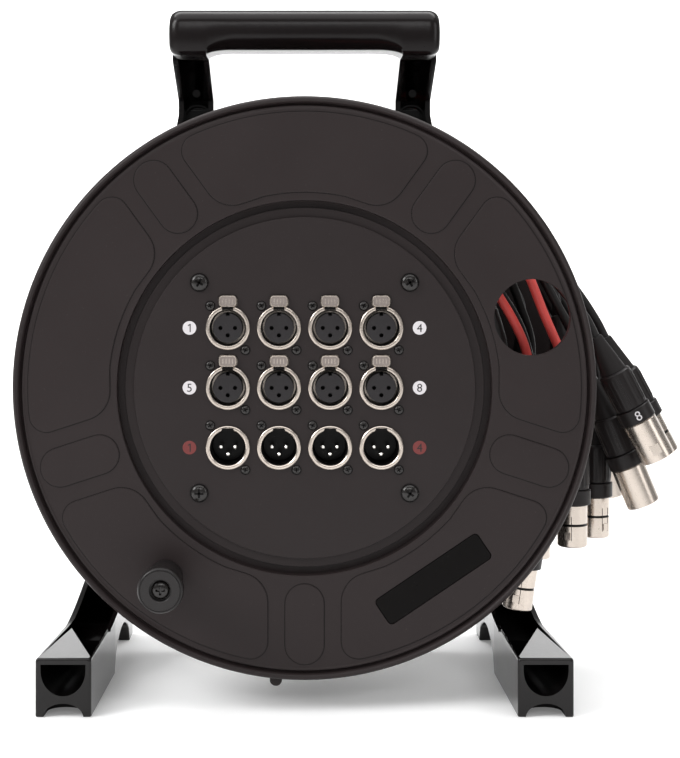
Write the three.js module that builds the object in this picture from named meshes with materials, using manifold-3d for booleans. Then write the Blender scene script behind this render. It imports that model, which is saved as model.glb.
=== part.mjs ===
// A stage box snake on a carried cable drum: a panel of XLR sockets in the drum's front, the multicore
// cable wound behind it, and a fan-out of plugs hanging at the side. Millimetres, +X right, +Y away
// from the panel, +Z up. The origin is on the floor, under the middle of the frame and drum.
import * as THREE from "three";
import { mergeVertices } from "three/addons/utils/BufferGeometryUtils.js";
import Module from "manifold-3d";

const wasm = await Module();
wasm.setup();

// Driving dimensions
const axisHeight = 175; // drum axis above the floor
const flangeRadius = 158;
const drumWidth = 131; // from the front flange's rim to the rear flange's back
const columnPitch = 27.7; // between connector columns
const rowPitch = 32.4; // between connector rows
const mountWidth = 26; // a connector's flange behind the panel
const mountHeight = 31;
const fit = 0.3; // between pieces that touch
const overrun = 1; // how far a cut runs past what it cuts
const smallSides = 8; // sides of a screw hole
const boltSides = 12;
const boreSides = 20;
const headSides = 10;
const drumSides = 40;
const turn = 2 * Math.PI;

// The panel, its ledge and the barrel are as wide as the connectors need
const ledgeMargin = 1.4; // from the outer connectors' corners to the ledge
const screwMargin = 6.6; // from the ledge's inside to the corner screws
const panelMargin = 11.9; // from the corner screws to the panel's edge
const coreMargin = 5.5; // from the panel's edge to the barrel's outside
const connectorReach = Math.hypot(1.5 * columnPitch + mountWidth / 2, rowPitch + mountHeight / 2);
const ledgeRadius = connectorReach + ledgeMargin;
const panelScrewRadius = ledgeRadius + screwMargin;
const panelRadius = panelScrewRadius + panelMargin;
const coreRadius = panelRadius + coreMargin;

// Colours of the finishes
const finish = {
  cheek: { color: 0x35322f, roughness: 0.62, metalness: 0 },
  gloss: { color: 0x0d0d0e, roughness: 0.2, metalness: 0 },
  panel: { color: 0x2e2c2b, roughness: 0.55, metalness: 0.1 },
  nickel: { color: 0xb9b4ac, roughness: 0.32, metalness: 1 },
  screw: { color: 0x141414, roughness: 0.35, metalness: 0.7 },
  insert: { color: 0x1c1c1d, roughness: 0.5, metalness: 0 },
  rubber: { color: 0x121212, roughness: 0.6, metalness: 0 },
  steel: { color: 0x8f8f90, roughness: 0.35, metalness: 1 },
};

// Solids, cuts and joins
function solidOf(geometry) {
  const bare = geometry.clone();
  bare.deleteAttribute("normal");
  bare.deleteAttribute("uv");
  const merged = mergeVertices(bare, 1e-4);
  return new wasm.Manifold(
    new wasm.Mesh({
      numProp: 3,
      vertProperties: new Float32Array(merged.attributes.position.array),
      triVerts: new Uint32Array(merged.index.array),
    }),
  );
}

function geometryOf(solid) {
  const mesh = solid.getMesh();
  const geometry = new THREE.BufferGeometry();
  geometry.setAttribute("position", new THREE.BufferAttribute(mesh.vertProperties, 3));
  geometry.setIndex(new THREE.BufferAttribute(mesh.triVerts, 1));
  return geometry;
}

const joined = (solids) => solids.reduce((sum, next) => sum.add(next));
const cut = (body, tools) => tools.reduce((left, tool) => left.subtract(tool), body);

// A profile of [radius, depth] points turned about the Y axis.
function turned(profile, segments) {
  const points = profile.map(([r, y]) => new THREE.Vector2(r, y));
  if (THREE.ShapeUtils.area(points) < 0) points.reverse();
  const closed = points[0].x === 0 && points.at(-1).x === 0 ? points : [...points, points[0].clone()];
  return new THREE.LatheGeometry(closed, segments);
}

// A shape seen from the front (X across, Y up), filled from one depth to another.
function plate(shape, from, to, curveSegments = 12) {
  return new THREE.ExtrudeGeometry(shape, { depth: to - from, bevelEnabled: false, curveSegments })
    .rotateX(Math.PI / 2)
    .translate(0, to, 0);
}

function boxBetween(low, high) {
  return new THREE.BoxGeometry(high[0] - low[0], high[1] - low[1], high[2] - low[2]).translate(
    (high[0] + low[0]) / 2,
    (high[1] + low[1]) / 2,
    (high[2] + low[2]) / 2,
  );
}

// A round rod along Y.
function rod(radius, from, to, segments = boltSides) {
  return turned([[0, from], [radius, from], [radius, to], [0, to]], segments);
}

// Closed rings of points, joined one to the next and capped at both ends.
function lofted(rings) {
  const count = rings[0].length;
  const flat = rings[0].map(([u, v]) => new THREE.Vector2(u, v));
  const caps = THREE.ShapeUtils.triangulateShape(flat, []);
  if (THREE.ShapeUtils.isClockWise(flat)) caps.forEach((face) => face.reverse());
  const positions = rings.flatMap((ring) => ring.flatMap((point) => point.slice(2)));
  const index = [];
  rings.slice(1).forEach((_, r) => {
    for (let i = 0; i < count; i++) {
      const a = r * count + i;
      const b = r * count + ((i + 1) % count);
      index.push(a, b, b + count, a, b + count, a + count);
    }
  });
  const last = (rings.length - 1) * count;
  caps.forEach(([a, b, c]) => index.push(a, c, b, last + a, last + b, last + c));
  const geometry = new THREE.BufferGeometry();
  geometry.setAttribute("position", new THREE.Float32BufferAttribute(positions, 3));
  geometry.setIndex(index);
  return facingOut(geometry);
}

// The same surface with its faces turned round where they point inwards.
function facingOut(geometry) {
  const p = geometry.attributes.position;
  const index = geometry.index.array;
  let volume = 0;
  const [a, b, c] = [new THREE.Vector3(), new THREE.Vector3(), new THREE.Vector3()];
  for (let i = 0; i < index.length; i += 3) {
    a.fromBufferAttribute(p, index[i]);
    b.fromBufferAttribute(p, index[i + 1]);
    c.fromBufferAttribute(p, index[i + 2]);
    volume += a.dot(b.cross(c));
  }
  if (volume < 0) {
    for (let i = 0; i < index.length; i += 3) [index[i + 1], index[i + 2]] = [index[i + 2], index[i + 1]];
  }
  return geometry;
}

function roundedRectangle(width, height, radius, cx = 0, cy = 0) {
  const shape = new THREE.Shape();
  const [w, h] = [width / 2, height / 2];
  shape.moveTo(cx - w + radius, cy - h);
  shape.lineTo(cx + w - radius, cy - h);
  shape.absarc(cx + w - radius, cy - h + radius, radius, -turn / 4, 0);
  shape.lineTo(cx + w, cy + h - radius);
  shape.absarc(cx + w - radius, cy + h - radius, radius, 0, turn / 4);
  shape.lineTo(cx - w + radius, cy + h);
  shape.absarc(cx - w + radius, cy + h - radius, radius, turn / 4, turn / 2);
  shape.lineTo(cx - w, cy - h + radius);
  shape.absarc(cx - w + radius, cy - h + radius, radius, turn / 2, (turn * 3) / 4);
  return shape;
}

// A shape's own points turned about the drum axis.
function turnedShape(points, angle) {
  const [c, s] = [Math.cos(angle), Math.sin(angle)];
  return new THREE.Shape(points.map((p) => new THREE.Vector2(p.x * c - p.y * s, p.x * s + p.y * c)));
}

const root = new THREE.Group();
const drum = new THREE.Group();
drum.position.z = axisHeight;
root.add(drum);

function place(group, name, geometry, look) {
  const mesh = new THREE.Mesh(geometry, new THREE.MeshStandardMaterial(finish[look]));
  mesh.name = name;
  group.add(mesh);
  return mesh;
}

// Front flange, a moulded cheek with a rolled rim and a fivefold relief
const faceDepth = 2.2; // the cheek's face behind its rim
const cheekWall = 4;
const rimBand = 6.5; // from the face's edge to the outside of the rim
const rimWall = 3;
const rimReturn = 12; // depth of the rim
const recessMargin = 3.5; // from the barrel's outside to the recess's
const recessRadius = coreRadius + recessMargin; // the ring groove round the panel
const panelSink = 1; // the panel's face behind the cheek's
const panelThickness = 3;
const ledgeWall = 3; // ring that the panel is screwed to
const reliefHeight = 0.6;
const reliefMargin = 4.5; // from the recess to the relief
const reliefEdge = 2; // from the relief to the rim
const reliefInnerRadius = recessRadius + reliefMargin;
const reliefOuterRadius = flangeRadius - rimBand - reliefEdge;
const reliefBand = reliefOuterRadius - reliefInnerRadius;
const bandMiddle = reliefInnerRadius + reliefBand / 2;
const obroundWidthShare = 0.483;
const petalCornerShare = 0.207;
const windowRadiusShare = 0.476;
const obroundWidth = reliefBand * obroundWidthShare;
const petalMargin = 9.5; // from an obround's side to a petal's
const petalGap = obroundWidth / 2 + petalMargin; // from an obround's axis to a petal's side
const petalCorner = reliefBand * petalCornerShare;
const windowRadius = reliefBand * windowRadiusShare;
const windowOffset = 1.25; // outside the band's middle
const windowCentreRadius = bandMiddle + windowOffset;
const windowAngle = (17.2 / 360) * turn;
const labelLength = 67;
const labelWidth = 16.5;
const labelCorner = 2.7;
const labelOffset = 3.25; // inside the band's middle
const labelCentreRadius = bandMiddle - labelOffset;
const labelAngle = (-56 / 360) * turn;
const labelDepth = 1;
const knobAngle = (233.7 / 360) * turn;
const knobOffset = 1.25; // inside the band's middle
const knobCentreRadius = bandMiddle - knobOffset;
const spindleRadius = 3.4;
const lugAngle = (-95.6 / 360) * turn;
const lugWidth = 6.7;
const lugReach = 5.5; // below the rim
const lugDepth = 5;
const petals = 5;
const ringSegments = 46;
const petalDivisions = 4;
const cornerDivisions = 3;

const seatDepth = faceDepth + panelSink + panelThickness + fit; // the ledge's front
const rimCrown = rimBand / 2;

function obroundShape() {
  const r = obroundWidth / 2;
  const shape = new THREE.Shape();
  shape.absarc(reliefOuterRadius - r, 0, r, -turn / 4, turn / 4);
  shape.absarc(reliefInnerRadius + r, 0, r, turn / 4, (turn * 3) / 4);
  return shape;
}

// A petal about the X axis, from the middle of one obround's gap to the next.
function petalShape() {
  const half = turn / petals / 2;
  const [c, s] = [Math.cos(half), Math.sin(half)];
  const edgePoint = (radius) => {
    const along = Math.sqrt(radius * radius - petalGap * petalGap);
    return new THREE.Vector2(along * c + petalGap * s, along * s - petalGap * c);
  };
  const inner = edgePoint(reliefInnerRadius + petalCorner);
  const outer = edgePoint(reliefOuterRadius - petalCorner / 2);
  const innerTurn = Math.atan2(inner.y, inner.x) - petalCorner / reliefInnerRadius;
  const outerTurn = Math.atan2(outer.y, outer.x) - petalCorner / 2 / reliefOuterRadius;
  const shape = new THREE.Shape();
  shape.absarc(0, 0, reliefOuterRadius, -outerTurn, outerTurn);
  shape.lineTo(outer.x, outer.y);
  shape.lineTo(inner.x, inner.y);
  shape.absarc(0, 0, reliefInnerRadius, innerTurn, -innerTurn, true);
  shape.lineTo(inner.x, -inner.y);
  shape.lineTo(outer.x, -outer.y);
  return shape;
}

function frontFlange() {
  const back = faceDepth + cheekWall;
  const edge = flangeRadius - rimBand;
  const body = solidOf(
    turned(
      [
        [ledgeRadius, seatDepth],
        [recessRadius, seatDepth],
        [recessRadius, faceDepth],
        [edge, faceDepth],
        [edge + rimCrown / 2, faceDepth + rimCrown / 3],
        [edge + rimCrown, faceDepth / 3],
        [flangeRadius - rimCrown / 2, 0],
        [flangeRadius, faceDepth],
        [flangeRadius, rimReturn],
        [flangeRadius - rimWall, rimReturn],
        [flangeRadius - rimWall, back],
        [recessRadius + cheekWall, back],
        [recessRadius + ledgeWall, seatDepth + ledgeWall],
        [ledgeRadius, seatDepth + ledgeWall],
      ],
      ringSegments,
    ),
  );
  const front = faceDepth - reliefHeight;
  const behind = faceDepth + reliefHeight;
  const reliefs = [];
  for (let i = 0; i < petals; i++) {
    const angle = turn / 4 + (i * turn) / petals;
    const obround = turnedShape(obroundShape().getPoints(cornerDivisions), angle - turn / 2);
    reliefs.push(solidOf(plate(obround, front, behind)));
    const petal = turnedShape(petalShape().getPoints(petalDivisions), angle);
    reliefs.push(solidOf(plate(petal, front, behind)));
  }
  const lug = solidOf(
    boxBetween(
      [-lugWidth / 2, rimReturn - lugDepth, -flangeRadius - lugReach],
      [lugWidth / 2, rimReturn, -flangeRadius + rimWall / 2],
    ).rotateY(-lugAngle - turn / 4),
  );
  const window = solidOf(rod(windowRadius, -overrun, back + overrun, boreSides)).translate(
    windowCentreRadius * Math.cos(windowAngle),
    0,
    windowCentreRadius * Math.sin(windowAngle),
  );
  const pocket = solidOf(plate(labelShape(0), front - overrun, front + labelDepth));
  const spindleHole = solidOf(rod(spindleRadius + fit, -overrun, back + overrun)).translate(
    knobCentreRadius * Math.cos(knobAngle),
    0,
    knobCentreRadius * Math.sin(knobAngle),
  );
  const holes = panelScrewPlaces().map(([x, z]) =>
    solidOf(rod(screwRadius + fit, 0, seatDepth + ledgeWall + overrun, smallSides)).translate(x, 0, z),
  );
  return cut(joined([body, ...reliefs, lug]), [window, pocket, spindleHole, ...holes]);
}

// The label pocket's outline, or that of a plate a little smaller all round
function labelShape(inset) {
  const [length, width] = [labelLength - 2 * inset, labelWidth - 2 * inset];
  const outline = roundedRectangle(length, width, labelCorner - inset, 0, labelCentreRadius);
  return turnedShape(outline.getPoints(cornerDivisions), labelAngle - turn / 4);
}

const labelWall = 0.6;
function labelPlate() {
  const bottom = faceDepth - reliefHeight + labelDepth - fit / 2;
  return plate(labelShape(fit), bottom - labelWall, bottom);
}

// Connector panel and its screws
const screwOffset = panelScrewRadius / Math.SQRT2; // corner screws from the panel's centre lines
const screwRadius = 2;
const screwHeadRadius = 4.7;
const screwHeadHeight = 2.2;
const screwLength = 9;
const ringRadius = 11.85; // outside of a connector's metal ring
const tabWidth = 10.2;
const tabHeight = 6.3;
const tabAbove = 14.5; // a tab's centre above its connector's
const panelFront = faceDepth + panelSink;
const panelBack = panelFront + panelThickness;
const columns = [-1.5, -0.5, 0.5, 1.5].map((step) => step * columnPitch);
const rows = [1, 0, -1].map((step) => step * rowPitch);

function panelScrewPlaces() {
  return [[-1, 1], [1, 1], [-1, -1], [1, -1]].map(([x, z]) => [x * screwOffset, z * screwOffset]);
}

function tabShape(width, height, x, z) {
  const corner = height / 3;
  const [w, h] = [width / 2, height / 2];
  const half = [[w, h - corner], [w - corner, h], [corner - w, h], [-w, h - corner]];
  const points = [...half, ...half.map(([px, pz]) => [-px, -pz])];
  return points.map(([px, pz]) => new THREE.Vector2(x + px, z + pz));
}

function connectorPanel() {
  const shape = new THREE.Shape();
  shape.absarc(0, 0, panelRadius, 0, turn);
  const body = solidOf(plate(shape, panelFront, panelBack, ringSegments));
  const cuts = [];
  rows.forEach((z, row) =>
    columns.forEach((x) => {
      const hole = rod(ringRadius + fit, panelFront - overrun, panelBack + overrun, connectorSegments);
      cuts.push(solidOf(hole).translate(x, 0, z));
      if (row < 2) {
        const slot = new THREE.Shape(tabShape(tabWidth + 2 * fit, tabHeight + 2 * fit, x, z + tabAbove));
        cuts.push(solidOf(plate(slot, panelFront - overrun, panelBack + overrun)));
      }
    }),
  );
  panelScrewPlaces().forEach(([x, z]) => {
    const hole = rod(screwRadius + fit, panelFront - overrun, panelBack + overrun, smallSides);
    cuts.push(solidOf(hole).translate(x, 0, z));
  });
  return cut(body, cuts);
}

// A pan head screw along Y, its head in front of a face.
function panScrew(face, length, headRadius, headHeight, shankRadius) {
  const crown = headHeight / 3;
  return turned(
    [
      [0, face - fit - headHeight],
      [headRadius - crown, face - fit - headHeight],
      [headRadius, face - fit - headHeight + crown],
      [headRadius, face - fit],
      [shankRadius, face - fit],
      [shankRadius, face + length],
      [0, face + length],
    ],
    headSides,
  );
}

// Connectors
const ringProud = 1.6; // a ring in front of the panel
const ringOpening = 9.5;
const insertRadius = 7.7;
const insertSink = 1;
const gapDepth = 12;
const shellLength = 22;
const contactRadius = 1.15;
const contactSpread = 3.95; // a contact from the connector's centre
const contactDepth = 8;
const pinLength = 10;
const mountWall = 2;
const tabThickness = 1.6;
const tabProud = 1.9; // a tab's face in front of the panel
const stemWidth = 5.6;
const cupFloor = 13;
const connectorSegments = 12;
const contactSides = 6;
const ringFront = panelFront - ringProud;
const mountFront = panelBack + fit;
const ringChamfer = (ringRadius - ringOpening) / 3;

function contactPlaces(side) {
  return [[-contactSpread, 0], [contactSpread, 0], [0, side * contactSpread]];
}

function mountPlate() {
  const slot = solidOf(
    boxBetween(
      [-stemWidth / 2 - fit, mountFront - overrun, tabAbove - tabHeight / 2],
      [stemWidth / 2 + fit, mountFront + mountWall + overrun, mountHeight / 2 + overrun],
    ),
  );
  const inside = (ringRadius + ringOpening) / 2;
  const bore = rod(inside, mountFront - overrun, mountFront + mountWall + overrun, connectorSegments);
  const full = solidOf(
    boxBetween(
      [-mountWidth / 2, mountFront, -mountHeight / 2],
      [mountWidth / 2, mountFront + mountWall, mountHeight / 2],
    ),
  ).subtract(solidOf(bore));
  return { full, slotted: full.subtract(slot) };
}

function femaleSocket() {
  const body = solidOf(
    turned(
      [
        [0, ringFront + insertSink],
        [insertRadius, ringFront + insertSink],
        [insertRadius, ringFront + gapDepth],
        [ringOpening, ringFront + gapDepth],
        [ringOpening, ringFront + ringChamfer],
        [ringOpening + ringChamfer, ringFront],
        [ringRadius, ringFront],
        [ringRadius, mountFront + shellLength],
        [0, mountFront + shellLength],
      ],
      connectorSegments,
    ),
  );
  const holes = contactPlaces(-1).map(([x, z]) =>
    solidOf(rod(contactRadius, ringFront, ringFront + contactDepth, contactSides)).translate(x, 0, z),
  );
  const notch = boxBetween(
    [-stemWidth / 2 - fit, ringFront - overrun, tabAbove - tabHeight / 2 - fit],
    [stemWidth / 2 + fit, mountFront + mountWall + overrun, ringRadius + overrun],
  );
  return cut(body.add(mountPlate().slotted), [...holes, solidOf(notch)]);
}

function maleInlet() {
  const floor = ringFront + cupFloor;
  const body = solidOf(
    turned(
      [
        [0, floor],
        [ringOpening - ringChamfer, floor],
        [ringOpening, ringFront + ringChamfer],
        [ringOpening + ringChamfer, ringFront],
        [ringRadius, ringFront],
        [ringRadius, mountFront + shellLength],
        [0, mountFront + shellLength],
      ],
      connectorSegments,
    ),
  );
  const pins = contactPlaces(-1).map(([x, z]) =>
    solidOf(rod(contactRadius, floor - pinLength, floor + overrun, contactSides)).translate(x, 0, z),
  );
  return joined([body, mountPlate().full, ...pins]);
}

function pushTab() {
  const face = panelFront - tabProud;
  const cap = plate(new THREE.Shape(tabShape(tabWidth, tabHeight, 0, tabAbove)), face, face + tabThickness);
  const stem = boxBetween(
    [-stemWidth / 2, face + tabThickness / 2, tabAbove - tabHeight / 3],
    [stemWidth / 2, mountFront + mountWall + fit + stemWidth, tabAbove + tabHeight / 3],
  );
  return solidOf(cap).add(solidOf(stem));
}

// Crank knob and its shoulder screw
const knobBaseRadius = 9.2;
const knobFrontRadius = 12.2;
const knobLength = 33;
const knobSides = 16;
const knobRound = 2.2;
const knobWell = 3; // depth of the well round the screw's head
const knobWellRadius = 5.6;
const knobScrewHead = 4.8;
const knobCollar = 2; // flange of the spindle behind the cheek
const knobBack = faceDepth - reliefHeight - fit;
const knobFront = knobBack - knobLength;

function crankKnob() {
  return turned(
    [
      [spindleRadius + fit, knobBack],
      [spindleRadius + fit, knobFront + knobWell],
      [knobWellRadius, knobFront + knobWell],
      [knobWellRadius, knobFront],
      [knobFrontRadius - knobRound, knobFront],
      [knobFrontRadius, knobFront + knobRound],
      [knobFrontRadius, knobFront + knobRound * 3],
      [knobBaseRadius, knobBack - knobLength / 3],
      [knobBaseRadius, knobBack],
    ],
    knobSides,
  );
}

function crankScrew() {
  const back = faceDepth + cheekWall + fit;
  return turned(
    [
      [0, knobFront + knobWell / 4],
      [knobScrewHead, knobFront + knobWell / 4],
      [knobScrewHead, knobFront + knobWell - fit],
      [spindleRadius, knobFront + knobWell - fit],
      [spindleRadius, back],
      [spindleRadius * 2, back],
      [spindleRadius * 2, back + knobCollar],
      [0, back + knobCollar],
    ],
    boltSides,
  );
}

// Barrel, rear flange with its hub, and the axle it turns on
const coreWall = 4;
const rearWall = 4;
const hubWall = 4;
const hubLength = 62;
const axleRadius = 12.5;
const axleBore = 8;
const bushWall = 2;
const bushFlange = 4;
const rearRim = 9; // depth of the rear flange's rim
const rearInner = drumWidth - rearRim; // its face on the cable side
const coreFront = seatDepth + ledgeWall + fit;
const hubRadius = axleRadius + bushWall + 3 * fit + hubWall;

function drumCore() {
  return turned(
    [
      [coreRadius - coreWall, coreFront],
      [coreRadius, coreFront],
      [coreRadius, rearInner - fit],
      [coreRadius - coreWall, rearInner - fit],
    ],
    drumSides,
  );
}

function rearFlange() {
  return turned(
    [
      [hubRadius - hubWall, rearInner - hubLength],
      [hubRadius, rearInner - hubLength],
      [hubRadius, rearInner],
      [flangeRadius - rimCrown, rearInner],
      [flangeRadius, rearInner + rimCrown],
      [flangeRadius, drumWidth - rimCrown / 2],
      [flangeRadius - rimCrown / 2, drumWidth],
      [flangeRadius - rimWall, drumWidth],
      [flangeRadius - rimWall, rearInner + rearWall],
      [hubRadius + hubWall, rearInner + rearWall],
      [hubRadius, drumWidth],
      [hubRadius - hubWall, drumWidth],
    ],
    drumSides,
  );
}

// Frame behind the drum, seen from the side
const frameGap = 4; // from the rear flange to the hub bridge
const channelDepth = 28;
const channelWall = 3.2;
const footHeight = 31.5;
const footFront = -8;
const footOuter = 144;
const footWidth = 30;
const legOuter = 138.5; // a leg's outside where it meets its foot
const legWidth = 27;
const armOuter = 79.3;
const armWidth = 22;
const gripTop = 390;
const gripHeight = 23.5;
const gripDepth = 29;
const gripRound = 8;
const hoodDrop = 3.5; // how far the grip's ends reach below its bar
const bridgeHeight = 58;
const bridgeWall = 10;
const bridgeHub = 34;
const gripAhead = 73; // from the grip's front to the legs' front
const frameFront = drumWidth + frameGap; // the front edges of the legs
const gripFront = frameFront - gripAhead;
const frameBack = frameFront + channelDepth;
const armClearance = 10; // from the drum to the arm's lower edge
const armBottomBack = axisHeight + flangeRadius + armClearance;
const gripBottom = gripTop - gripHeight;
const gripBack = gripFront + gripDepth;
const armFrontBottom = gripBottom - hoodDrop;
const armLowerAt = (y) =>
  armFrontBottom + ((armBottomBack - armFrontBottom) * (y - gripBack)) / (frameFront - gripBack);

// A channel's section: two walls and the web behind them, from its front point to its back point.
function channelRing(front, back, outer, width) {
  const inner = outer - width;
  const [fy, fz] = front;
  const [by, bz] = back;
  const length = Math.hypot(by - fy, bz - fz);
  const share = 1 - channelWall / length;
  const [wy, wz] = [fy + (by - fy) * share, fz + (bz - fz) * share];
  const t = channelWall;
  return [
    [0, 0, outer, fy, fz],
    [0, length, outer, by, bz],
    [width, length, inner, by, bz],
    [width, 0, inner, fy, fz],
    [width - t, 0, inner + t, fy, fz],
    [width - t, length - t, inner + t, wy, wz],
    [t, length - t, outer - t, wy, wz],
    [t, 0, outer - t, fy, fz],
  ];
}

// The arm bends down into the leg, which leans out from there to its foot.
const bendSteps = 6;
const armStart = gripBack + fit;
const armTop = gripTop - gripHeight / 4;
const bendRadius = 50;
const legTop = armTop - bendRadius;
const leanShareAt = (z) => (legTop - z) / (legTop - footHeight + channelWall / 2);
const legOuterAt = (z) => armOuter + (legOuter - armOuter) * leanShareAt(z);
const legWidthAt = (z) => armWidth + (legWidth - armWidth) * leanShareAt(z);

function armAndLeg() {
  const rings = [channelRing([armStart, armLowerAt(armStart)], [armStart, armTop], armOuter, armWidth)];
  const first = armStart + channelWall;
  for (let i = 0; i < bendSteps; i++) {
    const angle = ((i / bendSteps) * turn) / 4;
    const back = [
      frameBack - bendRadius * (1 - Math.sin(angle)),
      armTop - bendRadius * (1 - Math.cos(angle)),
    ];
    const y = first + ((frameFront - first) * i) / (bendSteps - 1);
    rings.push(channelRing([y, armLowerAt(y)], back, armOuter, armWidth));
  }
  rings.push(channelRing([frameFront, legTop], [frameBack, legTop], armOuter, armWidth));
  const deck = footHeight - channelWall / 2;
  rings.push(channelRing([frameFront, deck], [frameBack, deck], legOuter, legWidth));
  return lofted(rings);
}

const padEnd = 72; // where the front pad leaves the floor
const archRise = 19;
const rearPad = 16; // length of the rear pad on the floor
const footArch = 2.8;
const footWall = 3;
const openingTop = 28.2;
const openingBottom = 11.3;
const openingLength = 64;
const archSteps = 6;
const toeShareAt = (y) => Math.min(1, (y - footFront) / (padEnd - footFront));
const footOuterAt = (y) => footOuter + (legOuter - footOuter) * toeShareAt(y);
const footWidthAt = (y) => footWidth + (legWidth - footWidth) * toeShareAt(y);

function footRing(y, low) {
  const outer = footOuterAt(y);
  const inner = outer - footWidthAt(y);
  return [
    [0, 0, outer, y, low],
    [0, 1, outer, y, footHeight],
    [1, 1, inner, y, footHeight],
    [1, 0, inner, y, low],
  ];
}

// The D shaped mouth of a foot: a flat top over a round bottom.
function mouthRing(y) {
  const middle = footOuterAt(y) - footWidthAt(y) / 2;
  const half = footWidthAt(y) / 2 - footWall;
  const drop = (openingTop - openingBottom) / 2;
  const ring = [[half, openingTop, middle + half, y, openingTop]];
  for (let i = 0; i <= archSteps; i++) {
    const angle = -((i / archSteps) * turn) / 2;
    const [px, pz] = [half * Math.cos(angle), openingBottom + drop + drop * Math.sin(angle)];
    ring.push([px, pz, middle + px, y, pz]);
  }
  ring.push([-half, openingTop, middle - half, y, openingTop]);
  return ring;
}

// The shallow arch under the front pad, which leaves two skids on the floor.
function skidRing(y) {
  const middle = footOuterAt(y) - footWidthAt(y) / 2;
  const half = footWidthAt(y) / 2 - footWall;
  const ring = [];
  for (let i = 0; i <= archSteps; i++) {
    const angle = ((i / archSteps) * turn) / 2;
    const [px, pz] = [half * Math.cos(angle), footArch * Math.sin(angle)];
    ring.push([px, pz, middle + px, y, pz]);
  }
  const below = -overrun;
  return [...ring, [-half, below, middle - half, y, below], [half, below, middle + half, y, below]];
}

function footBeam() {
  const rearStart = frameBack - rearPad;
  const rings = [footRing(footFront, 0), footRing(padEnd, 0)];
  for (let i = 1; i < archSteps; i++) {
    const share = i / archSteps;
    const y = padEnd + (rearStart - padEnd) * share;
    rings.push(footRing(y, archRise * Math.sqrt(Math.sin(share * Math.PI))));
  }
  rings.push(footRing(rearStart, 0), footRing(frameBack, 0));
  const tunnel = lofted([footFront - overrun, openingLength].map(mouthRing));
  const groove = lofted([footFront - overrun, padEnd + overrun].map(skidRing));
  return cut(solidOf(lofted(rings)), [solidOf(tunnel), solidOf(groove)]);
}

// A heel between the channel's walls rises in a curve from the foot's deck towards the leg.
const heelFrom = 53;
const heelRise = 26; // at the leg's front
const heelSteps = 5;

function legHeel() {
  const low = footHeight - channelWall / 2;
  const ringAt = (y, high) => [
    [0, 0, legOuterAt(low), y, low],
    [0, 1, legOuterAt(high), y, high],
    [1, 1, legOuterAt(high) - legWidthAt(high), y, high],
    [1, 0, legOuterAt(low) - legWidthAt(low), y, low],
  ];
  const rings = [];
  for (let i = 0; i <= heelSteps; i++) {
    const share = i / heelSteps;
    const y = heelFrom + (frameFront - heelFrom) * share;
    rings.push(ringAt(y, footHeight + heelRise * share ** 2));
  }
  rings.push(ringAt(frameBack - channelWall / 2, footHeight + heelRise));
  return solidOf(lofted(rings));
}

const ribDepth = 9;
const ribWall = 2;

// A rib down the middle of the channel.
function legRib() {
  const ribAt = (z) => {
    const middle = legOuterAt(z) - legWidthAt(z) / 2;
    const back = frameBack - channelWall / 2;
    return [
      [0, 0, middle - ribWall / 2, back - ribDepth, z],
      [0, 1, middle - ribWall / 2, back, z],
      [1, 1, middle + ribWall / 2, back, z],
      [1, 0, middle + ribWall / 2, back - ribDepth, z],
    ];
  };
  return solidOf(lofted([ribAt(footHeight - channelWall / 2), ribAt(legTop)]));
}

const bridgeBoltRadius = 4;
const bridgeBoltHead = 7;
const bridgeBoltHeadHeight = 4;
const bridgeBoltReach = 12;
const legInnerAt = (z) => legOuterAt(z) - legWidthAt(z);
const bridgeBoltSpread = legInnerAt(axisHeight + bridgeHeight / 2) - bridgeBoltReach;

function sideFrame(side) {
  const parts = [solidOf(armAndLeg()), footBeam(), legHeel(), legRib(), bridgeLug()];
  const hole = solidOf(rod(bridgeBoltRadius + fit, frameFront, frameBack, boltSides)).translate(
    bridgeBoltSpread,
    0,
    axisHeight,
  );
  const screwHole = gripScrewHole(1, armTop - channelWall - overrun, armTop + overrun);
  const whole = cut(joined(parts), [hole, screwHole]);
  return side > 0 ? whole : whole.scale([-1, 1, 1]);
}

// A tongue from the leg's inner wall that the hub bridge is bolted to.
const lugWall = 5;
function bridgeLug() {
  const low = axisHeight - bridgeHeight / 2;
  const high = axisHeight + bridgeHeight / 2;
  const y0 = frameFront + bridgeWall + fit;
  const ringAt = (z) => [
    [0, 0, bridgeBoltSpread - bridgeBoltReach, y0, z],
    [0, 1, bridgeBoltSpread - bridgeBoltReach, y0 + lugWall, z],
    [1, 1, legInnerAt(z) + channelWall / 2, y0 + lugWall, z],
    [1, 0, legInnerAt(z) + channelWall / 2, y0, z],
  ];
  return solidOf(lofted([ringAt(low), ringAt(high)]));
}

// A hexagon bolt from behind, through the tongue into the bridge.
function bridgeBolt() {
  const back = frameFront + bridgeWall + fit + lugWall + fit;
  const head = solidOf(plate(nutShape(bridgeBoltHead), back, back + bridgeBoltHeadHeight));
  const shank = rod(bridgeBoltRadius, frameFront + bridgeWall / 4, back + bridgeBoltHeadHeight / 2);
  return geometryOf(head.add(solidOf(shank)));
}

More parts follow.
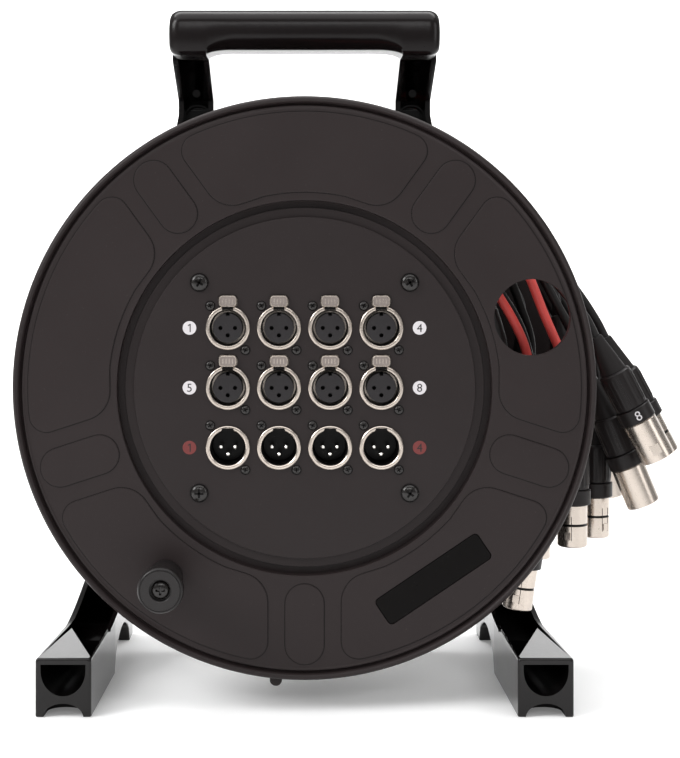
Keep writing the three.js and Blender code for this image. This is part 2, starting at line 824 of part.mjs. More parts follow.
function hubBridge() {
  const low = axisHeight - bridgeHeight / 2;
  const high = axisHeight + bridgeHeight / 2;
  const reachAt = (z) => legInnerAt(z) - fit;
  const outline = new THREE.Shape([
    new THREE.Vector2(-reachAt(low), low),
    new THREE.Vector2(reachAt(low), low),
    new THREE.Vector2(reachAt(high), high),
    new THREE.Vector2(-reachAt(high), high),
  ]);
  const web = solidOf(plate(outline, frameFront, frameFront + bridgeWall));
  const bossRod = rod(bridgeHub, frameFront, frameBack - bridgeWall, boreSides);
  const boss = solidOf(bossRod).translate(0, 0, axisHeight);
  const boreRod = rod(axleRadius + fit, frameFront - overrun, frameBack + overrun, boreSides);
  const bore = solidOf(boreRod).translate(0, 0, axisHeight);
  const holes = [-1, 1].map((side) =>
    solidOf(rod(bridgeBoltRadius + fit, frameFront - overrun, frameBack, boltSides)).translate(
      side * bridgeBoltSpread,
      0,
      axisHeight,
    ),
  );
  return cut(web.add(boss), [bore, ...holes]);
}

// The bar that the hand holds, with a hood at each end over the frame's arms
const cornerSteps = 4;
const lowerFrontShare = 1; // of the grip's rounding
const lowerBackShare = 0.4;
const endShares = [ // how far in from the grip's end, and how much smaller the section is there
  [0, 0.55],
  [0.15, 0.3],
  [0.5, 0.08],
  [1, 0],
];

function carryGrip() {
  const sectionAt = (x, drop, inset) => {
    const low = gripBottom - drop + inset;
    const high = gripTop - inset;
    const near = gripFront + inset;
    const far = gripBack;
    const corners = [
      [near, low, turn / 2, gripRound * lowerFrontShare],
      [far, low, (turn * 3) / 4, gripRound * lowerBackShare],
      [far, high, 0, gripRound],
      [near, high, turn / 4, gripRound],
    ];
    return corners.flatMap(([y, z, from, radius]) => {
      const cy = y === near ? near + radius : far - radius;
      const cz = z === low ? low + radius : high - radius;
      return Array.from({ length: cornerSteps }, (_, i) => {
        const angle = from + ((i / (cornerSteps - 1)) * turn) / 4;
        const [py, pz] = [cy + radius * Math.cos(angle), cz + radius * Math.sin(angle)];
        return [py, pz, x, py, pz];
      });
    });
  };
  const hoodFrom = armOuter - armWidth;
  const half = [
    ...endShares.map(([along, inset]) => [armOuter - gripRound * along, hoodDrop, gripRound * inset]),
    [hoodFrom, hoodDrop, 0],
    [hoodFrom - hoodDrop / 2, hoodDrop / 2, 0],
    [hoodFrom - hoodDrop * 2, 0, 0],
  ];
  const rings = [
    ...half.map(([x, drop, inset]) => sectionAt(-x, drop, inset)),
    ...half.toReversed().map(([x, drop, inset]) => sectionAt(x, drop, inset)),
  ];
  const sides = [-1, 1];
  const whole = joined([solidOf(lofted(rings)), ...sides.map(tongue)]);
  return cut(whole, sides.map((side) => gripScrewHole(side, armTop - gripScrewLength - overrun, armTop)));
}

// A tongue behind each hood goes into the frame's arm, where a screw through the web holds it.
const tongueLength = 20;
const tongueHeight = 9;
const gripScrewAt = 10; // along the tongue
const gripScrewRadius = 2.5;
const gripScrewHead = 4.6;
const gripScrewLength = 10;
const gripScrewPlace = armOuter - armWidth / 2;

function tongue(side) {
  const top = armTop - channelWall - fit;
  const low = -gripScrewPlace - armWidth / 2 + channelWall + fit;
  const high = -gripScrewPlace + armWidth / 2 - channelWall - fit;
  const [a, b] = side < 0 ? [low, high] : [-high, -low];
  return solidOf(
    boxBetween([a, gripBack - gripRound, top - tongueHeight], [b, armStart + tongueLength, top]),
  );
}

function gripScrewHole(side, from, to) {
  return solidOf(rod(gripScrewRadius + fit, from, to, smallSides).rotateX(Math.PI / 2)).translate(
    side * gripScrewPlace,
    armStart + gripScrewAt,
    0,
  );
}

function gripScrew() {
  return panScrew(0, gripScrewLength, gripScrewHead, gripScrewHead / 2, gripScrewRadius)
    .rotateX(-Math.PI / 2)
    .translate(0, armStart + gripScrewAt, armTop);
}

// Axle, bush, washers and nut
const axleFront = rearInner - hubLength - bushFlange - fit;
const nutRadius = 19;
const nutHeight = 9;
const clipRadius = 17;
const clipWall = 2.5;
const axleHeadBack = frameBack - bridgeWall + fit;

function axle() {
  return turned(
    [
      [axleBore, axleFront - 2 * clipWall],
      [axleRadius, axleFront - 2 * clipWall],
      [axleRadius, axleHeadBack + nutHeight],
      [axleBore, axleHeadBack + nutHeight],
    ],
    boreSides,
  );
}

function bearingBush() {
  const bore = axleRadius + fit;
  const outside = hubRadius - hubWall - fit;
  return turned(
    [
      [bore, rearInner - hubLength - bushFlange + fit],
      [hubRadius, rearInner - hubLength - bushFlange + fit],
      [hubRadius, rearInner - hubLength - fit],
      [outside, rearInner - hubLength - fit],
      [outside, drumWidth],
      [bore, drumWidth],
    ],
    boreSides,
  );
}

function nutShape(radius) {
  return new THREE.Shape(
    Array.from({ length: 6 }, (_, i) => {
      const angle = (i * turn) / 6;
      return new THREE.Vector2(radius * Math.cos(angle), radius * Math.sin(angle));
    }),
  );
}

function axleNut() {
  const hex = solidOf(plate(nutShape(nutRadius), axleHeadBack, axleHeadBack + nutHeight - overrun));
  const bore = rod(axleRadius + fit, axleHeadBack - overrun, axleHeadBack + nutHeight, boreSides);
  return hex.subtract(solidOf(bore));
}

function axleClip() {
  const inner = axleRadius + fit;
  return turned(
    [
      [inner, axleFront - clipWall],
      [clipRadius, axleFront - clipWall],
      [clipRadius, axleFront],
      [inner, axleFront],
    ],
    boreSides,
  );
}

// Multicore cable: a plain core for the inner layers, and the outer layer's turns
const cableRadius = 6;
const cableGap = 1;
const loopSteps = 24;
const cableSides = 6;
const windingPitch = 2 * cableRadius + cableGap;
const innerLayer = 5.5; // the plain core's wall under the outer layer
const windingMargin = 3; // from the rear flange to the first turn
const windingCoreRadius = coreRadius + innerLayer;
const windingRadius = windingCoreRadius + fit + cableRadius;
const windingStart = rearInner - cableRadius - windingMargin;
const windingFront = seatDepth + ledgeWall + cableRadius + fit; // no turn's centre is in front of this
const loops = Math.floor((windingStart - windingFront) / windingPitch);
const windingEndAngle = (118 / 360) * turn;
console.log(`winding: ${loops} turns`);
const stopLength = 14; // of the block where the outer layer comes up from the one below
const stopRoot = 5;
const lift = 5; // the cable's free end rises this much off the winding
const liftSteps = 6;

function windingCentre(step) {
  const left = loops * loopSteps - step;
  const angle = windingEndAngle + (left * turn) / loopSteps;
  const y = windingStart - (step / loopSteps) * windingPitch;
  const radius = windingRadius + lift * Math.max(0, 1 - left / liftSteps) ** 2;
  return new THREE.Vector3(radius * Math.cos(angle), y, radius * Math.sin(angle));
}

// A tube of few sides through points, its ends cut square.
function tube(points, radius, sides) {
  const rings = [];
  const across = new THREE.Vector3(0, 1, 0);
  points.forEach((point, i) => {
    const before = points[Math.max(0, i - 1)];
    const after = points[Math.min(points.length - 1, i + 1)];
    const along = after.clone().sub(before).normalize();
    const u = across.clone().addScaledVector(along, -across.dot(along)).normalize();
    const v = along.clone().cross(u);
    rings.push(
      Array.from({ length: sides }, (_, k) => {
        const angle = (k * turn) / sides;
        const [c, s] = [Math.cos(angle), Math.sin(angle)];
        const p = point.clone().addScaledVector(u, radius * c).addScaledVector(v, radius * s);
        return [c, s, p.x, p.y, p.z];
      }),
    );
  });
  return lofted(rings);
}

function windingPoints() {
  const points = [];
  for (let step = 0; step <= loops * loopSteps; step++) points.push(windingCentre(step));
  const straight = (end, next) => {
    const along = end.clone().sub(next).normalize();
    return end.clone().addScaledVector(along, 2 * cableRadius);
  };
  return [straight(points[0], points[1]), ...points, straight(points.at(-1), points.at(-2))];
}

function leastSelfGap(points, radius) {
  let least = Infinity;
  points.forEach((a, i) =>
    points.slice(i + loopSteps / 2).forEach((b) => {
      least = Math.min(least, a.distanceTo(b) - 2 * radius);
    }),
  );
  return least;
}

function windingCore(points) {
  const ring = solidOf(
    turned(
      [
        [coreRadius + fit, seatDepth + ledgeWall + fit],
        [windingCoreRadius, seatDepth + ledgeWall + fit],
        [windingCoreRadius, rearInner - fit],
        [coreRadius + fit, rearInner - fit],
      ],
      drumSides,
    ),
  );
  const end = points[0];
  const along = end.clone().sub(points[1]).normalize();
  const axis = new THREE.Vector3(0, 1, 0).addScaledVector(along, -along.y).normalize();
  const place = new THREE.Matrix4().makeBasis(along, axis, along.clone().cross(axis)).setPosition(end);
  const block = boxBetween(
    [fit, -cableRadius, -cableRadius],
    [fit + stopLength, cableRadius, cableRadius + stopRoot],
  );
  return ring.add(solidOf(block.applyMatrix4(place)));
}

// Fan-out: the boot where the multicore divides, its tails and their plugs
const bootBack = 6.6;
const bootMouth = 9.5;
const bootLength = 40;
const bootTaperShare = 0.6;
const tailRadius = 2.6;
const tailSides = 8;
const tailGap = 1; // from the winding to the tails that lie over it
const tailLayRadius = windingRadius + cableRadius + tailRadius + tailGap;
const tailStep = 7 * tailRadius;
const layDegrees = [78, 66, 54]; // where the tails lie on the winding, counted up from +X
const layShares = [0.46, 0.8, 1]; // how far each tail has spread by then
const tailStraight = 6;
const bundleRadius = 5.4;
const plugSides = 10;
const plugLength = 76;
const plugTip = 3.6;
const plugBoot = 7.4;
const plugBody = 9.4;
const numberRing = 10.1;
const maleShell = 9.5;
const femaleShell = 8.3;
const shellWall = 1.2;
const cupDepth = 3.5;
const shellBandShare = 0.31; // the metal part's share of a plug's length
const ringBandShare = 0.11;
const bootShare = 0.29;

// Where each plug hangs: its depth, its boot's tip (X, Z), its tilt from straight down in degrees,
// and the points [X, Y, Z] that its tail passes before the tip. Chosen by hand from the photograph.
const fanOut = [
  {
    name: "return_plug_1", male: false, lay: 24, tip: [130, 30, 124.5], tilt: -8.5,
    by: [[120, 26, 202.5], [128.5, 28, 163]],
  },
  {
    name: "return_plug_2", male: false, lay: 31, tip: [150, 31, 160], tilt: 0,
    by: [[112.5, 31, 255.5], [136, 32, 209.5]],
  },
  {
    name: "send_plug_8", male: true, lay: 38.5, tip: [162.5, 29, 201], tilt: 27.5,
    by: [[117.5, 35, 263], [142, 31, 230]],
  },
  {
    name: "send_plug_6", male: true, lay: 46, tip: [165, 50, 174.5], tilt: 22.5,
    by: [[115.5, 43, 259], [146, 44, 214]],
  },
  {
    name: "send_plug_1", male: true, lay: 53.5, tip: [146, 57, 211.5], tilt: 7,
    by: [[112.5, 53, 263.5], [133.5, 55.5, 239.5]],
  },
  {
    name: "send_plug_7", male: true, lay: 61, tip: [132.5, 58, 148], tilt: 0,
    by: [[120, 59, 214.5], [131, 58.5, 183.5]],
  },
  {
    name: "return_plug_4", male: false, lay: 68.5, tip: [174.5, 62, 198.5], tilt: 27.5,
    by: [[122, 66, 265], [153, 63.5, 232.5]],
  },
  {
    name: "return_plug_3", male: false, lay: 76, tip: [170, 68.5, 158], tilt: 0,
    by: [[119.5, 73.5, 253.5], [151, 71.5, 205.5]],
  },
  {
    name: "send_plug_3", male: true, lay: 83.5, tip: [135, 84, 183.5], tilt: 1.5,
    by: [[116.5, 81.5, 240.5], [130, 83, 211.5]],
  },
  {
    name: "send_plug_5", male: true, lay: 91, tip: [163, 86.5, 213.5], tilt: 9,
    by: [[119, 89, 266], [147.5, 87, 241.5]],
  },
  {
    name: "send_plug_2", male: true, lay: 98.5, tip: [133, 107, 203.5], tilt: 2.5,
    by: [[112.5, 101, 251.5], [126.5, 105, 228.5]],
  },
  {
    name: "send_plug_4", male: true, lay: 106, tip: [174.5, 107.5, 174], tilt: 8,
    by: [[124, 107, 262], [158, 107.5, 217.5]],
  },
];

function plugDirection({ tilt }) {
  const angle = (tilt / 360) * turn;
  return new THREE.Vector3(Math.sin(angle), 0, -Math.cos(angle));
}

// Along a plug from its boot's tip: cone, body, number ring and metal shell.
function plugProfile(male) {
  const shellStart = plugLength * (1 - shellBandShare);
  const ringStart = shellStart - plugLength * ringBandShare;
  const bootEnd = plugLength * bootShare;
  const shell = male ? maleShell : femaleShell;
  const start = [
    [0, 0],
    [plugTip, 0],
    [plugBoot, bootEnd],
    [plugBody, bootEnd + fit],
    [plugBody, ringStart],
    [numberRing, ringStart],
    [numberRing, shellStart],
    [shell, shellStart],
    [shell, plugLength],
  ];
  if (!male) return [...start, [0, plugLength]];
  const cup = shell - shellWall;
  return [...start, [cup, plugLength], [cup, plugLength - cupDepth], [0, plugLength - cupDepth]];
}

function plug(line) {
  const up = new THREE.Vector3(0, 1, 0);
  const quaternion = new THREE.Quaternion().setFromUnitVectors(up, plugDirection(line));
  return turned(plugProfile(line.male), plugSides).applyQuaternion(quaternion).translate(...line.tip);
}

function breakoutBoot(end, along) {
  const up = new THREE.Vector3(0, 1, 0);
  const quaternion = new THREE.Quaternion().setFromUnitVectors(up, along);
  const taper = bootLength * bootTaperShare;
  const profile = [[0, 0], [bootBack, 0], [bootMouth, taper], [bootMouth, bootLength], [0, bootLength]];
  return turned(profile, boltSides).applyQuaternion(quaternion).translate(...end.toArray());
}

// A tail: out of the boot's mouth, spread over the winding, and down to its plug.
function tailPoints(line, order, mouth, along) {
  const ringAngle = (order * turn) / fanOut.length;
  const offset = new THREE.Vector3(0, -Math.cos(ringAngle), 0).multiplyScalar(bundleRadius);
  offset.addScaledVector(new THREE.Vector3(0, 1, 0).cross(along), bundleRadius * Math.sin(ringAngle));
  const start = mouth.clone().add(offset);
  const out = start.clone().addScaledVector(along, tailStraight);
  const lay = layShares.map((share, i) => {
    const angle = (layDegrees[i] / 360) * turn;
    const y = out.y + (line.lay - out.y) * share;
    const [x, z] = [tailLayRadius * Math.cos(angle), tailLayRadius * Math.sin(angle)];
    return new THREE.Vector3(x, y, z + axisHeight);
  });
  const back = plugDirection(line).multiplyScalar(-1);
  const tip = new THREE.Vector3(...line.tip);
  const end = tip.clone().addScaledVector(back, fit);
  const before = tip.clone().addScaledVector(back, fit + 2 * tailStraight);
  const by = line.by.map((point) => new THREE.Vector3(...point));
  const curve = new THREE.CatmullRomCurve3([start, out, ...lay, ...by, before, end], false, "centripetal");
  const spaced = curve.getSpacedPoints(Math.ceil(curve.getLength() / tailStep));
  const isFree = (point) =>
    point.distanceTo(start) > tailStep && point.distanceTo(end) > 2 * tailStraight + tailStep / 2;
  const free = spaced.filter(isFree);
  return [start, out, ...free, before, end];
}

function tailTube(points) {
  const section = new THREE.Shape();
  section.absarc(0, 0, tailRadius, 0, turn);
  return new THREE.ExtrudeGeometry(new THREE.Shape(section.getPoints(tailSides / 4)), {
    extrudePath: new THREE.CatmullRomCurve3(points, false, "centripetal"),
    steps: points.length - 1,
  });
}

// The assembly
const cable = windingPoints();
const cableEnd = cable.at(-1).clone();
const cableAlong = cableEnd.clone().sub(cable.at(-2)).normalize();
const bootStart = cableEnd.clone().addScaledVector(cableAlong, fit);
bootStart.z += axisHeight;
const mouth = bootStart.clone().addScaledVector(cableAlong, bootLength);

place(root, "left_side_frame", geometryOf(sideFrame(-1)), "gloss");
place(root, "right_side_frame", geometryOf(sideFrame(1)), "gloss");
place(root, "carry_grip", geometryOf(carryGrip()), "gloss");
place(root, "grip_screw_left", gripScrew().translate(-gripScrewPlace, 0, 0), "screw");
place(root, "grip_screw_right", gripScrew().translate(gripScrewPlace, 0, 0), "screw");
place(root, "hub_bridge", geometryOf(hubBridge()), "gloss");
place(root, "bridge_bolt_left", bridgeBolt().translate(-bridgeBoltSpread, 0, axisHeight), "steel");
place(root, "bridge_bolt_right", bridgeBolt().translate(bridgeBoltSpread, 0, axisHeight), "steel");
place(root, "axle", axle().translate(0, 0, axisHeight), "steel");
place(root, "axle_nut", geometryOf(axleNut()).translate(0, 0, axisHeight), "steel");
place(root, "axle_clip", axleClip().translate(0, 0, axisHeight), "steel");

place(drum, "front_flange", geometryOf(frontFlange()), "cheek");
place(drum, "rear_flange", rearFlange(), "cheek");
place(drum, "drum_core", drumCore(), "cheek");
place(drum, "bearing_bush", bearingBush(), "insert");
place(drum, "connector_panel", geometryOf(connectorPanel()), "panel");
panelScrewPlaces().forEach(([x, z], i) => {
  const screw = panScrew(panelFront, screwLength, screwHeadRadius, screwHeadHeight, screwRadius);
  place(drum, `panel_screw_${i + 1}`, screw.translate(x, 0, z), "screw");
});
place(drum, "label_plate", labelPlate(), "gloss");

let number = 0;
rows.forEach((z, row) =>
  columns.forEach((x, column) => {
    if (row === 2) {
      place(drum, `male_inlet_${column + 1}`, geometryOf(maleInlet()), "nickel").position.set(x, 0, z);
      return;
    }
    number += 1;
    place(drum, `female_socket_${number}`, geometryOf(femaleSocket()), "nickel").position.set(x, 0, z);
    place(drum, `push_tab_${number}`, geometryOf(pushTab()), "nickel").position.set(x, 0, z);
  }),
);

const knobPlace = [knobCentreRadius * Math.cos(knobAngle), 0, knobCentreRadius * Math.sin(knobAngle)];
place(drum, "crank_knob", crankKnob(), "insert").position.set(...knobPlace);
place(drum, "crank_screw", crankScrew(), "screw").position.set(...knobPlace);

place(drum, "winding_core", geometryOf(windingCore(cable)), "rubber");
place(drum, "multicore_winding", tube(cable, cableRadius, cableSides), "rubber");
console.log("winding: least gap to itself " + leastSelfGap(cable, cableRadius).toFixed(2) + " mm");

place(root, "breakout_boot", breakoutBoot(bootStart, cableAlong), "rubber");
fanOut.forEach((line) => place(root, line.name, plug(line), "nickel"));
const tailMouth = mouth.clone().addScaledVector(cableAlong, fit);
const tails = fanOut.map((line, i) => solidOf(tailTube(tailPoints(line, i, tailMouth, cableAlong))));
place(root, "fan_out_tails", geometryOf(joined(tails)), "rubber");

// The frame's and drum's middle in depth is the origin's.
root.position.y = -(knobFront + frameBack) / 2;

export default root;
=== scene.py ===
# %% [markdown]
# A stage box snake, dressed for its studio picture
#
# The object is a reel for a thick multicore cable. Its front cheek carries a round panel of audio
# sockets, the cable lies wound between two cheeks, and its far end divides into twelve tails with
# plugs. The solids come from the CAD model, and this file gives each one its seen surface. Sizes
# are written in millimetres, as on a drawing, and turned to metres where a mesh is made.

import math

import bmesh
import bpy
from mathutils import Matrix, Vector


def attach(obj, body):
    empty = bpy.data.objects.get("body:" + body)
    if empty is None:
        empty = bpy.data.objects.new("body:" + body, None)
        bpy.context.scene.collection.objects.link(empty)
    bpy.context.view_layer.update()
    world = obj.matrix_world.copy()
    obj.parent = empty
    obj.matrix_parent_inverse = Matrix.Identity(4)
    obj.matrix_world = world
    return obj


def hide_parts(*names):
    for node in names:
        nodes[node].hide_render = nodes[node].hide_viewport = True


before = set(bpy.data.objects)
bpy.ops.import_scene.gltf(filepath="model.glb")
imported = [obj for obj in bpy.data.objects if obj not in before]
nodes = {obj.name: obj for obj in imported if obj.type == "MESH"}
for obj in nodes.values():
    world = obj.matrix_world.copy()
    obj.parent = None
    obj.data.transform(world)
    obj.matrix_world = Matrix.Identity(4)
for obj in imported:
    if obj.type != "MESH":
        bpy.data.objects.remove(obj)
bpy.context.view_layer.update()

# %% [markdown]
# Places are given as X across, a depth behind the front rim, and a height over the floor, or over
# the drum's axis for whatever turns with the drum. One helper turns them into the scene's metres,
# so that the same numbers as on the drawing can be used everywhere.

# %% Main sizes and places
MM = 0.001
AXIS_HEIGHT = 175
DEPTH_SHIFT = -65.65  # the rim's front lies this far before the origin
TURN = 2 * math.pi
FIT = 0.3


def place(x, depth, height):
    """A point in metres from X, depth behind the rim and height above the floor, in millimetres."""
    return Vector((x, depth + DEPTH_SHIFT, height)) * MM


def on_drum(x, depth, up):
    """As place, but with the height measured from the drum's axis."""
    return place(x, depth, up + AXIS_HEIGHT)


FLANGE_RADIUS = 158
FACE_DEPTH = 2.2
PANEL_FRONT = 3.2
PANEL_BACK = 6.2
print("drum axis at", [round(v, 4) for v in on_drum(0, 0, 0)])

# %% [markdown]
# The camera stands where the photograph was taken: less than a metre away, a little over the drum's
# axis. The cheek's circles are true circles in the photograph and its uprights are parallel, so the
# camera looks level, and its lens is shifted down and to the right. It is made first. The hanging
# cords were measured against what it sees.

# %% Camera
PHOTO_WIDTH = 680
PHOTO_HEIGHT = 758
AHEAD_X = 304  # the point straight ahead of the camera, in the photograph's pixels
AHEAD_Y = 245
CAMERA_DISTANCE = 800  # to the rim
CAMERA_X = -0.3
CAMERA_HEIGHT = 252.3
RIM_PIXELS = 293  # the rim's radius in the photograph
FOCAL_PIXELS = CAMERA_DISTANCE * RIM_PIXELS / FLANGE_RADIUS
SENSOR = 36

camera_data = bpy.data.cameras.new("camera")
camera = bpy.data.objects.new("camera", camera_data)
bpy.context.scene.collection.objects.link(camera)
camera.location = place(CAMERA_X, -CAMERA_DISTANCE, CAMERA_HEIGHT)
camera.rotation_euler = (TURN / 4, 0, 0)
camera_data.sensor_width = SENSOR
camera_data.lens = SENSOR * FOCAL_PIXELS / PHOTO_HEIGHT
camera_data.shift_x = (PHOTO_WIDTH / 2 - AHEAD_X) / PHOTO_HEIGHT
camera_data.shift_y = (AHEAD_Y - PHOTO_HEIGHT / 2) / PHOTO_HEIGHT
bpy.context.scene.camera = camera
print("lens", round(camera_data.lens, 2), "mm")
print("shift", round(camera_data.shift_x, 3), round(camera_data.shift_y, 3))

# %% [markdown]
# Moulded plastic is never even. A shared node group gives every plastic and painted surface two
# things: a fine grain for the bump, and a slow cloudiness that shifts its colour and its gloss a
# little. It reads Object coordinates, so nothing slides when the drum turns.


# %% Shader group: grain
def new_group(name, inputs, outputs):
    """An empty shader node group with named sockets."""
    tree = bpy.data.node_groups.new(name, "ShaderNodeTree")
    for socket_name, kind, default in inputs:
        socket = tree.interface.new_socket(socket_name, in_out="INPUT", socket_type=kind)
        socket.default_value = default
    for socket_name, kind in outputs:
        tree.interface.new_socket(socket_name, in_out="OUTPUT", socket_type=kind)
    source = tree.nodes.new("NodeGroupInput")
    result = tree.nodes.new("NodeGroupOutput")
    return tree, source, result


def math_node(tree, operation, *values):
    """A math node with its inputs linked or set."""
    node = tree.nodes.new("ShaderNodeMath")
    node.operation = operation
    for socket, value in zip(node.inputs, values):
        if isinstance(value, (int, float)):
            socket.default_value = value
        else:
            tree.links.new(value, socket)
    return node.outputs[0]


def color_mix(tree, factor, dark, light):
    """A mix of two colours, each of them linked or set."""
    mix = tree.nodes.new("ShaderNodeMix")
    mix.data_type = "RGBA"
    tree.links.new(factor, mix.inputs["Factor"])
    for socket, value in ((mix.inputs[6], dark), (mix.inputs[7], light)):
        if isinstance(value, tuple):
            socket.default_value = (*value, 1)
        else:
            tree.links.new(value, socket)
    return mix.outputs[2]


def object_coords(tree):
    return tree.nodes.new("ShaderNodeTexCoord").outputs["Object"]


def stretched(tree, vector, scale, turn=(0, 0, 0)):
    """Coordinates scaled along their axes, which draws a pattern out, and turned."""
    mapping = tree.nodes.new("ShaderNodeMapping")
    mapping.inputs["Scale"].default_value = scale
    mapping.inputs["Rotation"].default_value = turn
    tree.links.new(vector, mapping.inputs["Vector"])
    return mapping.outputs[0]


def noise_node(tree, vector, scale, detail=2.0, roughness=0.5):
    """A noise texture on a vector, its scale linked or set."""
    node = tree.nodes.new("ShaderNodeTexNoise")
    node.inputs["Detail"].default_value = detail
    node.inputs["Roughness"].default_value = roughness
    tree.links.new(vector, node.inputs["Vector"])
    if isinstance(scale, (int, float)):
        node.inputs["Scale"].default_value = scale
    else:
        tree.links.new(scale, node.inputs["Scale"])
    return node.outputs["Fac"]


def make_grain_group():
    inputs = [
        ("Grain Scale", "NodeSocketFloat", 1500.0),
        ("Cloud Scale", "NodeSocketFloat", 14.0),
        ("Cloud Depth", "NodeSocketFloat", 0.2),
        ("Roughness", "NodeSocketFloat", 0.5),
        ("Roughness Spread", "NodeSocketFloat", 0.1),
        ("Dark", "NodeSocketColor", (0.02, 0.02, 0.02, 1)),
        ("Light", "NodeSocketColor", (0.04, 0.04, 0.04, 1)),
    ]
    outputs = [("Color", "NodeSocketColor"), ("Roughness", "NodeSocketFloat"), ("Height", "NodeSocketFloat")]
    tree, source, result = new_group("moulded_grain", inputs, outputs)
    coords = object_coords(tree)
    grain = noise_node(tree, coords, source.outputs["Grain Scale"], 3.0, 0.6)
    cloud = noise_node(tree, coords, source.outputs["Cloud Scale"], 4.0, 0.55)
    centred = math_node(tree, "SUBTRACT", cloud, 0.5)
    deep = math_node(tree, "MULTIPLY", centred, source.outputs["Cloud Depth"])
    share = math_node(tree, "ADD", math_node(tree, "MULTIPLY", deep, 4.0), 0.5)
    clamp = tree.nodes.new("ShaderNodeClamp")
    tree.links.new(share, clamp.inputs["Value"])
    shade = color_mix(tree, clamp.outputs[0], source.outputs["Dark"], source.outputs["Light"])
    both = math_node(tree, "ADD", centred, math_node(tree, "SUBTRACT", grain, 0.5))
    spread = math_node(tree, "MULTIPLY", both, source.outputs["Roughness Spread"])
    tree.links.new(shade, result.inputs["Color"])
    tree.links.new(math_node(tree, "ADD", source.outputs["Roughness"], spread), result.inputs["Roughness"])
    tree.links.new(grain, result.inputs["Height"])
    return tree


GRAIN = make_grain_group()
print("group", GRAIN.name, "with", len(GRAIN.nodes), "nodes")

# %% [markdown]
# Handled parts collect pale dust and are rubbed a little glossier here and there. A second group
# makes a sparse mask of fine specks and faint scuffs that any material can mix in.


# %% Shader group: specks and scuffs
SPECK_LIMIT = 0.72  # the noise above it is a speck
SPECK_GAIN = 12.0
SCUFF_STRETCH = 7.0
SCUFF_TURN = 0.6


def make_speck_group():
    inputs = [
        ("Speck Scale", "NodeSocketFloat", 900.0),
        ("Amount", "NodeSocketFloat", 0.04),
        ("Scuff Scale", "NodeSocketFloat", 60.0),
    ]
    outputs = [("Specks", "NodeSocketFloat"), ("Scuffs", "NodeSocketFloat")]
    tree, source, result = new_group("specks_and_scuffs", inputs, outputs)
    coords = object_coords(tree)
    fine = noise_node(tree, coords, source.outputs["Speck Scale"], 1.0)
    above = math_node(tree, "SUBTRACT", fine, SPECK_LIMIT)
    specks = math_node(tree, "MULTIPLY", math_node(tree, "MAXIMUM", above, 0.0), SPECK_GAIN)
    tree.links.new(math_node(tree, "MULTIPLY", specks, source.outputs["Amount"]), result.inputs["Specks"])
    drawn_out = stretched(tree, coords, (1, 1, SCUFF_STRETCH), (0, SCUFF_TURN, 0))
    lines = noise_node(tree, drawn_out, source.outputs["Scuff Scale"], 6.0, 0.7)
    scuffs = math_node(tree, "MULTIPLY", math_node(tree, "SUBTRACT", lines, 0.5), 2.0)
    tree.links.new(math_node(tree, "MAXIMUM", scuffs, 0.0), result.inputs["Scuffs"])
    return tree


SPECKS = make_speck_group()
print("group", SPECKS.name, "with", len(SPECKS.nodes), "nodes")

# %% [markdown]
# Most of the surfaces are dark plastics that differ in gloss and grain alone. One function sets up
# such a finish from its own values: the two shades between which it clouds, its roughness, the size
# of its grain and how deep that grain is. The cheeks are moulded with a fine spark finish, the frame
# is polished, the panel is powder coated sheet, and the plugs' bodies are satin.


# %% Finish maker for plastics
DUST = (0.35, 0.34, 0.32)


def new_finish(name):
    """An empty material, with its node tree and its shader."""
    material = bpy.data.materials.new(name)
    material.use_nodes = True
    return material, material.node_tree, material.node_tree.nodes["Principled BSDF"]


def group_node(tree, group, values):
    """A shared group placed in a material, with the material's own values."""
    node = tree.nodes.new("ShaderNodeGroup")
    node.node_tree = group
    for name, value in values.items():
        node.inputs[name].default_value = value
    return node


def add_bump(tree, shader, height, depth):
    """A bump in the surface, its depth in millimetres."""
    bump = tree.nodes.new("ShaderNodeBump")
    bump.inputs["Strength"].default_value = 1.0
    bump.inputs["Distance"].default_value = depth * MM
    tree.links.new(height, bump.inputs["Height"])
    tree.links.new(bump.outputs["Normal"], shader.inputs["Normal"])


def plastic(
    name, dark, light, roughness, grain_size, grain_depth, spread=0.12, speck=0.03, cloud_size=60, sheen=0.3
):
    """A grained plastic or paint; sizes in millimetres, sheen is its share of a clear lacquer's gloss."""
    material, tree, shader = new_finish(name)
    shader.inputs["Specular IOR Level"].default_value = sheen
    values = {
        "Grain Scale": 1 / (grain_size * MM),
        "Cloud Scale": 1 / (cloud_size * MM),
        "Roughness": roughness,
        "Roughness Spread": spread,
        "Dark": (*dark, 1),
        "Light": (*light, 1),
    }
    grain = group_node(tree, GRAIN, values)
    specks = group_node(tree, SPECKS, {"Amount": speck})
    dusty = color_mix(tree, specks.outputs["Specks"], grain.outputs["Color"], DUST)
    tree.links.new(dusty, shader.inputs["Base Color"])
    rubbed = math_node(
        tree, "MULTIPLY_ADD", specks.outputs["Scuffs"], -spread / 2, grain.outputs["Roughness"]
    )
    tree.links.new(rubbed, shader.inputs["Roughness"])
    add_bump(tree, shader, grain.outputs["Height"], grain_depth)
    return material


